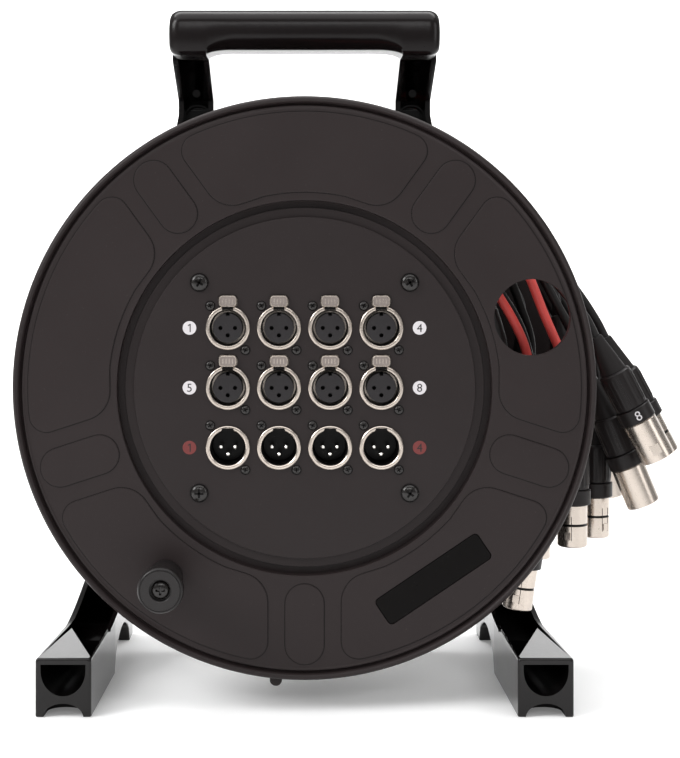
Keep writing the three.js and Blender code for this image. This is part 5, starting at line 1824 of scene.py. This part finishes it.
# %% Number badges
BADGE_RADIUS = 3.7
BADGE_ASIDE = 62.3
BADGE_DIGIT = 4.4
BADGE_ROWS = [("1", "4", WHITE_PRINT), ("5", "8", WHITE_PRINT), ("1", "4", RED_PRINT)]
badge_section = [
    (0, PANEL_FRONT - 0.1),
    (BADGE_RADIUS - 0.1, PANEL_FRONT - 0.1),
    (BADGE_RADIUS, PANEL_FRONT),
    (0, PANEL_FRONT + 0.05),
]
badge_parts = []
for z, (first, last, paint) in zip(ROWS, BADGE_ROWS):
    for x, digit in ((-BADGE_ASIDE, first), (BADGE_ASIDE, last)):
        badge_parts.append((*round_the_drum(badge_section, 48, x, z), paint))
        corners, faces = digit_mesh(digit, BADGE_DIGIT)
        lifted = [on_drum(x + c.x, PANEL_FRONT - 0.14, z + c.y) for c in corners]
        badge_parts.append((lifted, faces, DARK_PRINT))
badges = piece("number_badges", badge_parts, "drum", ())
made(badges)

# %% [markdown]
# The crank knob is a waisted plastic handle that turns on a shoulder screw. It widens towards the
# hand, and its front is a flat ring round the screw's well.

# %% Crank knob and its screw
KNOB_BACK = FACE_DEPTH - RELIEF - FIT
KNOB_FRONT = KNOB_BACK - 33
WELL_RADIUS = 5.6
knob_section = [
    (KNOB_HOLE, KNOB_BACK),
    (KNOB_HOLE, KNOB_FRONT + 3),
    (WELL_RADIUS, KNOB_FRONT + 3),
    (WELL_RADIUS, KNOB_FRONT + 0.4),
    (6.0, KNOB_FRONT),
    (10.3, KNOB_FRONT),
    (10.5, KNOB_FRONT + 0.5),
    (10.8, KNOB_FRONT + 0.5),
    (10.95, KNOB_FRONT + 0.15),
    (11.4, KNOB_FRONT + 0.35),
    (12.0, KNOB_FRONT + 1.2),
    (12.2, KNOB_FRONT + 2.6),
    (12.1, KNOB_FRONT + 6.6),
    (11.3, KNOB_FRONT + 12),
    (10.2, KNOB_FRONT + 18),
    (9.4, KNOB_BACK - 8),
    (9.2, KNOB_BACK - 2),
    (9.2, KNOB_BACK - 0.3),
    (8.9, KNOB_BACK),
    (KNOB_HOLE, KNOB_BACK),
]
KNOB_PLASTIC = plastic("knob_plastic", (0.0090, 0.0076, 0.0076), (0.0140, 0.0120, 0.0120), 0.36, 0.8, 0.02)
knob_shape = round_the_drum(knob_section, 96, *KNOB_AT)
knob = piece("crank_knob_dressed", [(*knob_shape, KNOB_PLASTIC)], "crank_knob", ["crank_knob"])
made(knob)

SHOULDER_RADIUS = 3.4
SHOULDER_FRONT = KNOB_FRONT + 2.5
SCREW_FOOT_RADIUS = 6.8
SCREW_FOOT = (6.5, 8.5)  # depths behind the cheek
shoulder = [
    (0, SHOULDER_FRONT),
    (SHOULDER_RADIUS, SHOULDER_FRONT),
    (SHOULDER_RADIUS, SCREW_FOOT[0]),
    (SCREW_FOOT_RADIUS, SCREW_FOOT[0]),
    (SCREW_FOOT_RADIUS, SCREW_FOOT[1]),
    (0, SCREW_FOOT[1]),
]
head_at = on_drum(KNOB_AT[0], SHOULDER_FRONT + 0.2, KNOB_AT[1])
head_parts = [([c + head_at for c in corners], f, m) for corners, f, m in mesh_of(screw_head(*KNOB_SCREW))]
crank_screw = piece(
    "crank_screw_dressed",
    [(*round_the_drum(shoulder, 40, *KNOB_AT), BLACK_SCREW), *head_parts],
    "drum",
    ["crank_screw"],
)
made(crank_screw)

# %% [markdown]
# The rear cheek is the same kind of moulding as the front one, without the panel: a rolled rim, a
# flat face with the fivefold relief, and a hub that turns on the axle. The photograph doesn't show
# it, so its relief repeats the front's.

# %% Rear cheek
HUB_HOLE = 15.4
HUB_RADIUS = 19.4
HUB_FRONT = 60
REAR_FRONT = 122
REAR_FACE = 126
REAR_BACK = 131
rear_section = [
    (HUB_HOLE, HUB_FRONT),
    (HUB_RADIUS - 0.3, HUB_FRONT),
    (HUB_RADIUS, HUB_FRONT + 0.3),
    (HUB_RADIUS, REAR_FRONT - 0.5),
    (20.4, REAR_FRONT),
    (154.6, REAR_FRONT),
    (156.6, 122.7),
    (157.7, 124.2),
    (FLANGE_RADIUS, 125.6),
    (FLANGE_RADIUS, 129.2),
    (157.5, 130.5),
    (156.4, REAR_BACK),
    (155.4, 130.6),
    (RIM_INNER, 129.6),
    (154.7, REAR_FACE + 0.4),
    (154.2, REAR_FACE),
    (24.4, REAR_FACE),
    (23.4, REAR_FACE + 0.4),
    (19.8, 130.6),
    (HUB_RADIUS, REAR_BACK),
    (HUB_HOLE, REAR_BACK),
    (HUB_HOLE, HUB_FRONT),
]
rear_cheek = piece(
    "rear_cheek",
    [(*round_the_drum(rear_section, 256), CHEEK)],
    "drum",
    ["rear_flange"],
    30,
)
made(rear_cheek)
for name, mesh, finish in RELIEF_MESHES:
    rear_relief = relief_on("rear_" + name, mesh, finish, REAR_FACE, True)
    settle(rear_relief, "drum", ())
    made(rear_relief)

# %% [markdown]
# The frame is two glossy mouldings, left and right, that are mirror images. Each is an arm that
# comes back from the grip, bends down into a leg of channel section, and ends in a long foot beam
# with a hollow front. The leg is lofted through channel sections along a bent line. The foot is
# lofted too. Its mouth, the two arches under it and the hollow behind its pointed deck are cut out,
# and their cut faces take a darker, matt finish as painted shade.

# %% Sizes of the frame
FRAME_FRONT = 135
FRAME_BACK = 163
CHANNEL_WALL = 3.2
ROOT = CHANNEL_WALL / 2  # how far one part of the moulding reaches into the next
FOOT_HEIGHT = 31.5
FOOT_FRONT = -8
FOOT_OUTER = 144
FOOT_WIDTH = 30
LEG_OUTER = 138.5
LEG_WIDTH = 27
ARM_OUTER = 79.3
ARM_WIDTH = 22
GRIP_TOP = 390
GRIP_HEIGHT = 23.5
GRIP_FRONT = 62
GRIP_BACK = 91
GRIP_ROUND = 8
HOOD_DROP = 3.5
ARM_BOTTOM_BACK = AXIS_HEIGHT + FLANGE_RADIUS + 10
ARM_TOP = GRIP_TOP - GRIP_HEIGHT / 4
ARM_START = GRIP_BACK + FIT
BEND_RADIUS = 50
LEG_TOP = ARM_TOP - BEND_RADIUS
GRIP_BOTTOM = GRIP_TOP - GRIP_HEIGHT
print("leg top", round(LEG_TOP, 1), "grip bottom", GRIP_BOTTOM)

# %% [markdown]
# The loft below follows the CAD model's rule with finer steps, so that the bend is smooth. A rib
# runs down the middle of the channel, and a round boss and a ring stiffen its top, as the
# photograph shows in the gap between the drum and the grip.


# %% Side frame maker
def arm_lower_at(depth):
    start = GRIP_BOTTOM - HOOD_DROP
    return start + (ARM_BOTTOM_BACK - start) * (depth - GRIP_BACK) / (FRAME_FRONT - GRIP_BACK)


def channel_ring(front, back, outer, width):
    """A channel's section as eight points of (X, depth, height)."""
    inner = outer - width
    t = CHANNEL_WALL
    length = math.dist(front, back)
    share = 1 - t / length
    web = [f + (b - f) * share for f, b in zip(front, back)]
    rows = [(outer, front), (outer, back), (inner, back), (inner, front)]
    rows += [(inner + t, front), (inner + t, web), (outer - t, web), (outer - t, front)]
    return [place(x, depth, height) for x, (depth, height) in rows]


def lean_share(height):
    return (LEG_TOP - height) / (LEG_TOP - FOOT_HEIGHT + ROOT)


def leg_outer_at(height):
    return ARM_OUTER + (LEG_OUTER - ARM_OUTER) * lean_share(height)


def leg_width_at(height):
    return ARM_WIDTH + (LEG_WIDTH - ARM_WIDTH) * lean_share(height)


def arm_and_leg(steps=18):
    rings = [channel_ring((ARM_START, arm_lower_at(ARM_START)), (ARM_START, ARM_TOP), ARM_OUTER, ARM_WIDTH)]
    first = ARM_START + CHANNEL_WALL
    for i in range(steps):
        angle = TURN / 4 * i / steps
        back = (
            FRAME_BACK - BEND_RADIUS * (1 - math.sin(angle)),
            ARM_TOP - BEND_RADIUS * (1 - math.cos(angle)),
        )
        depth = first + (FRAME_FRONT - first) * i / (steps - 1)
        rings.append(channel_ring((depth, arm_lower_at(depth)), back, ARM_OUTER, ARM_WIDTH))
    rings.append(channel_ring((FRAME_FRONT, LEG_TOP), (FRAME_BACK, LEG_TOP), ARM_OUTER, ARM_WIDTH))
    deck = FOOT_HEIGHT - ROOT
    rings.append(channel_ring((FRAME_FRONT, deck), (FRAME_BACK, deck), LEG_OUTER, LEG_WIDTH))
    return lofted(rings)


HEEL_FROM = 53
HEEL_RISE = 26
PAD_END = 72
ARCH_RISE = 19
REAR_PAD = 16
FOOT_WALL = 3
FOOT_ARCH = 2.8
TOE_ARCH = 7.4
TOE_ARCH_LENGTH = 9
SKID_WIDTH = 4.2
FOOT_EDGE = 1.5
SKID_EDGE = 0.8
TOE_SHARES = [(0, 0.85), (0.12, 0.45), (0.45, 0.12), (1, 0)]  # of the edge's radius: depth, inset
HOLLOW_FLOOR = ARCH_RISE + FOOT_WALL
HOLLOW_WALL = 2.9  # beside the leg, and thinner towards the toe
HOLLOW_TOE_WALL = 1.1
HOLLOW_TIP = (134.5, 55)
MOUTH_TOP = 28.2
MOUTH_BOTTOM = 11.3
MOUTH_LENGTH = 64
MOUTH_ROUND_SHARE = 0.8


def toe_share(depth):
    return min(1.0, (depth - FOOT_FRONT) / (PAD_END - FOOT_FRONT))


def foot_outer_at(depth):
    return FOOT_OUTER + (LEG_OUTER - FOOT_OUTER) * toe_share(depth)


def foot_width_at(depth):
    return FOOT_WIDTH + (LEG_WIDTH - FOOT_WIDTH) * toe_share(depth)


def foot_section(inner, outer, low, high, steps=3):
    """A foot's outline from its lower outer corner round to its lower inner one."""
    corners = [
        (outer, low, -1, 1, SKID_EDGE, -0.25),
        (outer, high, -1, -1, FOOT_EDGE, 0.0),
        (inner, high, 1, -1, FOOT_EDGE, 0.25),
        (inner, low, 1, 1, SKID_EDGE, 0.5),
    ]
    ring = []
    for x, z, to_x, to_z, r, start in corners:
        ring += arc(x + r * to_x, z + r * to_z, r, r, start, start + 0.25, steps)
    return ring


def foot_beam(steps=14):
    rear_start = FRAME_BACK - REAR_PAD
    lows = [(FOOT_FRONT, 0), (PAD_END, 0)]
    for i in range(1, steps):
        share = i / steps
        depth = PAD_END + (rear_start - PAD_END) * share
        lows.append((depth, ARCH_RISE * math.sqrt(math.sin(share * math.pi))))
    lows += [(rear_start, 0), (FRAME_BACK, 0)]
    sections = [(FOOT_FRONT + FOOT_EDGE * run, 0, FOOT_EDGE * inset) for run, inset in TOE_SHARES]
    sections += [(depth, low, 0) for depth, low in lows[1:]]
    rings = []
    for depth, low, inset in sections:
        outer = foot_outer_at(depth)
        inner = outer - foot_width_at(depth)
        ring = foot_section(inner + inset, outer - inset, low + inset, FOOT_HEIGHT - inset)
        rings.append([place(x, depth, height) for x, height in ring])
    return lofted(rings)


def foot_cutters(side):
    """The mouth's tunnel, the long low arch between the skids and the short high one at the toe."""

    def tunnel(wall, end, outline):
        rings = []
        for depth in (FOOT_FRONT - 1, end):
            half = foot_width_at(depth) / 2
            middle = foot_outer_at(depth) - half
            rings.append([place(side * (middle + x), depth, z) for x, z in outline(half - wall)])
        return cutter(lofted(rings), HOLLOW_SHADE)

    def mouth(half):
        drop = (MOUTH_TOP - MOUTH_BOTTOM) * MOUTH_ROUND_SHARE
        return [(half, MOUTH_TOP), *arc(0, MOUTH_BOTTOM + drop, half, drop, 0, -0.5, 16), (-half, MOUTH_TOP)]

    def arch(rise):
        return lambda half: [*arc(0, 0, half, rise, 0, 0.5, 16), (-half, -1), (half, -1)]

    return [
        tunnel(FOOT_WALL, MOUTH_LENGTH, mouth),
        tunnel(SKID_WIDTH, PAD_END + 1, arch(FOOT_ARCH)),
        tunnel(SKID_WIDTH, FOOT_FRONT + TOE_ARCH_LENGTH, arch(TOE_ARCH)),
    ]


def deck_hollow(side):
    """The cutter that opens the foot behind its deck, which stays as a pointed plate."""
    front = FOOT_FRONT + 2 * FOOT_EDGE
    back = FRAME_BACK - HOLLOW_WALL
    plan = [
        (foot_outer_at(front) - foot_width_at(front) + HOLLOW_TOE_WALL, front),
        (foot_outer_at(PAD_END) - foot_width_at(PAD_END) + HOLLOW_WALL, PAD_END),
        (LEG_OUTER - LEG_WIDTH + HOLLOW_WALL, back),
        (LEG_OUTER - HOLLOW_WALL, back),
        (foot_outer_at(PAD_END) - HOLLOW_WALL, PAD_END),
        (foot_outer_at(front) - HOLLOW_TOE_WALL, front),
        HOLLOW_TIP,
    ]
    rings = []
    for z in (HOLLOW_FLOOR, FOOT_HEIGHT, FOOT_HEIGHT + HEEL_RISE + CHANNEL_WALL):
        lean = LEG_OUTER - leg_outer_at(max(z, FOOT_HEIGHT))
        rings.append([place(side * (x - lean), depth, z) for x, depth in plan])
    return cutter(lofted(rings), HOLLOW_SHADE)


def mirrored(part, side):
    corners, faces = part
    return [Vector((c.x * side, c.y, c.z)) for c in corners], faces


print("foot length", FRAME_BACK - FOOT_FRONT, "mm")

# %% [markdown]
# A union joins leg, foot, heel, rib, tongue, boss and ring into one closed moulding, so that the bevel
# can round the edges where they meet. A mirrored moulding has its normals recalculated by the piece
# helper.


# %% The two side frames
TONGUE_HALF = 29  # above and below the axle
TONGUE_DEPTHS = (FRAME_FRONT + 10 + FIT, FRAME_FRONT + 15 + FIT)
TONGUE_REACH = 24
RIB_THICK_HALF = 1
RIB_DEPTH = 9
BOSS_AT = (138, 348)  # depth, height
BOSS_RADIUS = 2.9
BOSS_LENGTH = 22
RING_AT = (150, 332.5)
RING_INNER = 8.6
RING_OUTER = 9.5
RING_LENGTH = 12


def tongue_part():
    """The flat tongue inside the leg that the bridge is bolted to."""
    low, high = AXIS_HEIGHT - TONGUE_HALF, AXIS_HEIGHT + TONGUE_HALF
    near = leg_outer_at(high) - leg_width_at(high) - TONGUE_REACH
    y0, y1 = TONGUE_DEPTHS
    rings = []
    for z in (low, high):
        far = leg_outer_at(z) - leg_width_at(z) + ROOT
        rings.append([place(x, y, z) for x, y in ((near, y0), (near, y1), (far, y1), (far, y0))])
    return lofted(rings)


def heel_part(steps=16):
    """The curved rise from the foot's deck towards the leg, between the channel's walls."""
    low = FOOT_HEIGHT - ROOT
    rows = []
    for i in range(steps + 1):
        share = i / steps
        rows.append((HEEL_FROM + (FRAME_FRONT - HEEL_FROM) * share, FOOT_HEIGHT + HEEL_RISE * share**2))
    rows.append((FRAME_BACK - ROOT, FOOT_HEIGHT + HEEL_RISE))
    rings = []
    for depth, high in rows:
        ring = [(leg_outer_at(low), low), (leg_outer_at(high), high)]
        ring += [(x - leg_width_at(z), z) for x, z in ring[::-1]]
        rings.append([place(x, depth, z) for x, z in ring])
    return lofted(rings)


def rib_part():
    back = FRAME_BACK - ROOT
    front = back - RIB_DEPTH
    rings = []
    for z in (FOOT_HEIGHT - ROOT, LEG_TOP):
        middle = leg_outer_at(z) - leg_width_at(z) / 2
        left, right = middle - RIB_THICK_HALF, middle + RIB_THICK_HALF
        ring = [(left, front), (left, back), (right, back), (right, front)]
        rings.append([place(x, y, z) for x, y in ring])
    return lofted(rings)


def boss_parts():
    """The round boss and the ring below it, high in the channel."""
    x = ARM_OUTER - ARM_WIDTH / 2
    boss = [(0, 0), (BOSS_RADIUS - 0.4, 0), (BOSS_RADIUS, 0.6), (BOSS_RADIUS, BOSS_LENGTH), (0, BOSS_LENGTH)]
    ring = flat_box(RING_INNER, RING_OUTER, 0, RING_LENGTH)
    return [turned(boss, 24, place(x, *BOSS_AT)), turned([*ring, ring[0]], 40, place(x, *RING_AT))]


def side_frame(node, side):
    body = piece(node + "_dressed", [(*mirrored(arm_and_leg(), side), GLOSS)], None)
    for part in (foot_beam(), heel_part(), rib_part(), tongue_part(), *boss_parts()):
        extra = piece("extra", [(*mirrored(part, side), GLOSS)], None)
        modifier = body.modifiers.new("join", "BOOLEAN")
        modifier.operation = "UNION"
        modifier.solver = "EXACT"
        modifier.object = extra
        baked(body)
        bpy.data.objects.remove(extra)
    # The cut faces take the hollow's darker, matt finish as painted shade.
    cut_by(body, [*foot_cutters(side), deck_hollow(side)], True)
    edged(body, 0.7, 2, 38)
    finished(body, 42, "frame", [node])


side_frame("left_side_frame", -1)
side_frame("right_side_frame", 1)

# %% [markdown]
# The grip is a thick rounded bar. Its section has a full rounding in front and on top and a smaller
# one below. Towards each end the underside drops in a curve to meet the arm, which gives the hood
# over the joint.

# %% Carrying grip
CORNER_STEPS = 8
FRONT_STEPS = 6
END_STEPS = 7
HOOD_STEPS = 12
HOOD_REACH = 15
END_INSET_SHARE = 0.65  # of the grip's rounding
END_LENGTH_SHARE = 0.9
GRIP_TONGUE_HEIGHT = 9
GRIP_TONGUE_ROOT = 2
GRIP_TONGUE_REACH = 20
HOOD_FRONT_SHARE = 0.35  # of the grip's rounding, under the hood
LOWER_FRONT_SHARE = 1.0
GRIP_BULGE = 2.2
LOWER_BACK_SHARE = 0.4


def grip_section(x, drop, inset, lower_share):
    low = GRIP_BOTTOM - drop + inset
    high = GRIP_TOP - inset
    near, far = GRIP_FRONT + inset, GRIP_BACK
    corners = [
        (near, low, 0.5, GRIP_ROUND * lower_share),
        (far, low, 0.75, GRIP_ROUND * LOWER_BACK_SHARE),
        (far, high, 0.0, GRIP_ROUND),
        (near, high, 0.25, GRIP_ROUND),
    ]
    ring = []
    for y, z, start, radius in corners:
        cy = near + radius if y == near else far - radius
        cz = low + radius if z == low else high - radius
        ring += arc(cy, cz, radius, radius, start, start + 0.25, CORNER_STEPS)
    top = high - GRIP_ROUND
    rise = low + GRIP_ROUND * lower_share - top
    ring += [(near, top + rise * i / FRONT_STEPS) for i in range(1, FRONT_STEPS)]
    half = (high - low) / 2
    rounded = []
    for y, z in ring:
        forward = max(0.0, (far - y) / (far - near) - 0.5) * 2
        rounded.append(place(x, y + GRIP_BULGE * forward * ((z - low - half) / half) ** 2, z))
    return rounded


def grip_rings():
    half = []
    for i in range(END_STEPS + 1):
        a = TURN / 4 * i / END_STEPS
        inset = GRIP_ROUND * END_INSET_SHARE * (1 - math.sin(a))
        x = ARM_OUTER - GRIP_ROUND * END_LENGTH_SHARE * (1 - math.cos(a))
        half.append((x, HOOD_DROP, inset, HOOD_FRONT_SHARE))
    for i in range(HOOD_STEPS + 1):
        share = i / HOOD_STEPS
        a = TURN / 4 * share
        x = ARM_OUTER - ARM_WIDTH - HOOD_REACH * (1 - math.cos(a))
        lower = HOOD_FRONT_SHARE + (LOWER_FRONT_SHARE - HOOD_FRONT_SHARE) * share
        half.append((x, HOOD_DROP * (1 - math.sin(a)), 0.0, lower))
    rings = [grip_section(-x, drop, inset, lower) for x, drop, inset, lower in half]
    rings += [grip_section(x, drop, inset, lower) for x, drop, inset, lower in reversed(half)]
    return rings


def grip_tongue(side):
    top = ARM_TOP - CHANNEL_WALL - FIT
    middle = ARM_OUTER - ARM_WIDTH / 2
    half = ARM_WIDTH / 2 - CHANNEL_WALL - FIT
    low_x, high_x = side * middle - half, side * middle + half
    ring = flat_box(low_x, high_x, top - GRIP_TONGUE_HEIGHT, top)
    depths = (GRIP_BACK - GRIP_TONGUE_ROOT, ARM_START + GRIP_TONGUE_REACH)
    return lofted([[place(x, depth, z) for x, z in ring] for depth in depths])


grip = piece(
    "carry_grip_dressed",
    [(*lofted(grip_rings()), GRIP_FINISH), (*grip_tongue(-1), GRIP_FINISH), (*grip_tongue(1), GRIP_FINISH)],
    "frame",
    ["carry_grip"],
    40,
)
made(grip)

# %% [markdown]
# The bridge across the back carries the axle. Its solid is already right, so a copy is cleaned of
# the CAD model's loose triangles, rounded at its edges and stiffened with ribs round its hub.


# %% Clean copies of plain nodes
def clean_copy(node, finish, body, width=0.5, segments=2):
    """A copy of a CAD node with its corners merged and its edges rounded."""
    mesh = nodes[node].data.copy()
    bm = bmesh.new()
    bm.from_mesh(mesh)
    bmesh.ops.remove_doubles(bm, verts=bm.verts, dist=1e-6)
    bmesh.ops.dissolve_limit(bm, angle_limit=math.radians(1), verts=bm.verts, edges=bm.edges)
    bm.to_mesh(mesh)
    bm.free()
    mesh.materials.clear()
    mesh.materials.append(finish)
    mesh.polygons.foreach_set("material_index", [0] * len(mesh.polygons))
    obj = bpy.data.objects.new(node + "_dressed", mesh)
    bpy.context.scene.collection.objects.link(obj)
    edged(obj, width, segments, 30)
    finished(obj, 45, body, [node])


clean_copy("hub_bridge", GLOSS, "frame", 0.8)
clean_copy("axle", STEEL, "frame", 0.3)
clean_copy("axle_nut", STEEL, "frame", 0.5)
clean_copy("axle_clip", STEEL, "frame", 0.2)
for side in ("left", "right"):
    clean_copy(f"bridge_bolt_{side}", STEEL, "frame", 0.4)
    clean_copy(f"grip_screw_{side}", BLACK_SCREW, "frame", 0.3)
clean_copy("drum_core", CHEEK, "drum", 0.2, 1)
clean_copy("bearing_bush", INSERT, "drum", 0.2, 1)

# %% [markdown]
# Two ribs beside the bridge's hub carry the drum's weight into the cross web. They are the same rib,
# so the copies round an axis make them from one. The photograph doesn't show them.

# %% Ribs behind the bridge
HUB_RIB_FROM = 33.5  # from the axle
HUB_RIB_LENGTH = 20
HUB_RIB_HALF = 1.3
HUB_RIB_BACK = FRAME_FRONT + 9.8
HUB_RIB_HEIGHTS = (9, 3)  # beside the hub and at the outer end


def hub_rib():
    high, low = HUB_RIB_HEIGHTS
    section = [(0, 0), (HUB_RIB_LENGTH, 0), (HUB_RIB_LENGTH, low), (0, high)]
    return lofted([[Vector((x, y, z)) * MM for x, z in section] for y in (-HUB_RIB_HALF, HUB_RIB_HALF)])


rib_source = piece("hub_rib", [(*hub_rib(), GLOSS)], None)
rib_corners, rib_faces = round_axis("hub ribs", rib_source, 2, HUB_RIB_FROM, GLOSS, 0.0)
rib_spots = []
for corner in rib_corners:
    rib_spots.append(Vector((corner.x, corner.z, corner.y)) + on_drum(0, HUB_RIB_BACK, 0))
hub_ribs = piece("hub_ribs", [(rib_spots, rib_faces, GLOSS)], None)
edged(hub_ribs, 0.3, 1)
settle(hub_ribs, "frame", ())
made(hub_ribs)

# %% [markdown]
# The studio is a pale sweep: a floor that curves up into a low backdrop far behind. Large soft
# lights hang to the left, to the right and above, as round a product on white paper, and a narrow
# one in front draws the bright line along the grip. The world adds an even light from all sides.

# %% Floor, backdrop and lights
SWEEP_FRONT = -3.0
SWEEP_BACK = 0.9
SWEEP_RADIUS = 0.8
SWEEP_HALF = 4
SWEEP_STEPS = 12
sweep_profile = [(SWEEP_FRONT, 0.0), (SWEEP_BACK, 0.0)]
for i in range(1, SWEEP_STEPS + 1):
    a = TURN / 4 * i / SWEEP_STEPS
    sweep_profile.append((SWEEP_BACK + SWEEP_RADIUS * math.sin(a), SWEEP_RADIUS * (1 - math.cos(a))))
sweep_corners = []
for y, z in sweep_profile:
    sweep_corners += [Vector((-SWEEP_HALF, y, z)), Vector((SWEEP_HALF, y, z))]
sweep_faces = [[2 * i, 2 * i + 1, 2 * i + 3, 2 * i + 2] for i in range(len(sweep_profile) - 1)]
PAPER, paper_tree, paper_shader = new_finish("studio_paper")
paper_shader.inputs["Base Color"].default_value = (0.93, 0.93, 0.93, 1)
paper_shader.inputs["Roughness"].default_value = 0.55
paper_shader.inputs["Emission Color"].default_value = (1, 1, 1, 1)
paper_shader.inputs["Emission Strength"].default_value = 0.14
sweep = piece("studio_sweep", [(sweep_corners, sweep_faces, PAPER)], None, angle=60)

world = bpy.data.worlds.new("studio")
bpy.context.scene.world = world
world.use_nodes = True
world.node_tree.nodes["Background"].inputs["Color"].default_value = (1, 1, 1, 1)
world.node_tree.nodes["Background"].inputs["Strength"].default_value = 0.3


def soft_light(name, spot, aim, size, power):
    data = bpy.data.lights.new(name, "AREA")
    data.shape = "RECTANGLE"
    data.size, data.size_y = size
    data.energy = power
    light = bpy.data.objects.new(name, data)
    bpy.context.scene.collection.objects.link(light)
    light.location = spot
    light.rotation_euler = (Vector(aim) - Vector(spot)).to_track_quat("-Z", "Y").to_euler()
    return light


soft_light("key", (-1.6, -0.9, 1.3), (0, 0, 0.18), (0.9, 0.9), 30)
soft_light("strip", (0, -1.9, 1.15), (0, 0, 0.3), (1.4, 0.3), 7)
soft_light("fill", (1.6, -0.9, 0.7), (0, 0, 0.18), (0.6, 1.0), 5)
soft_light("top", (0, -0.1, 2.2), (0, 0, 0.0), (3.2, 2.6), 52)
soft_light("backdrop_light", (0, 0.6, 2.0), (0, 1.7, 0.7), (3.0, 0.8), 45)
bpy.context.scene.view_settings.view_transform = "Standard"
print("lights:", len(bpy.data.lights))
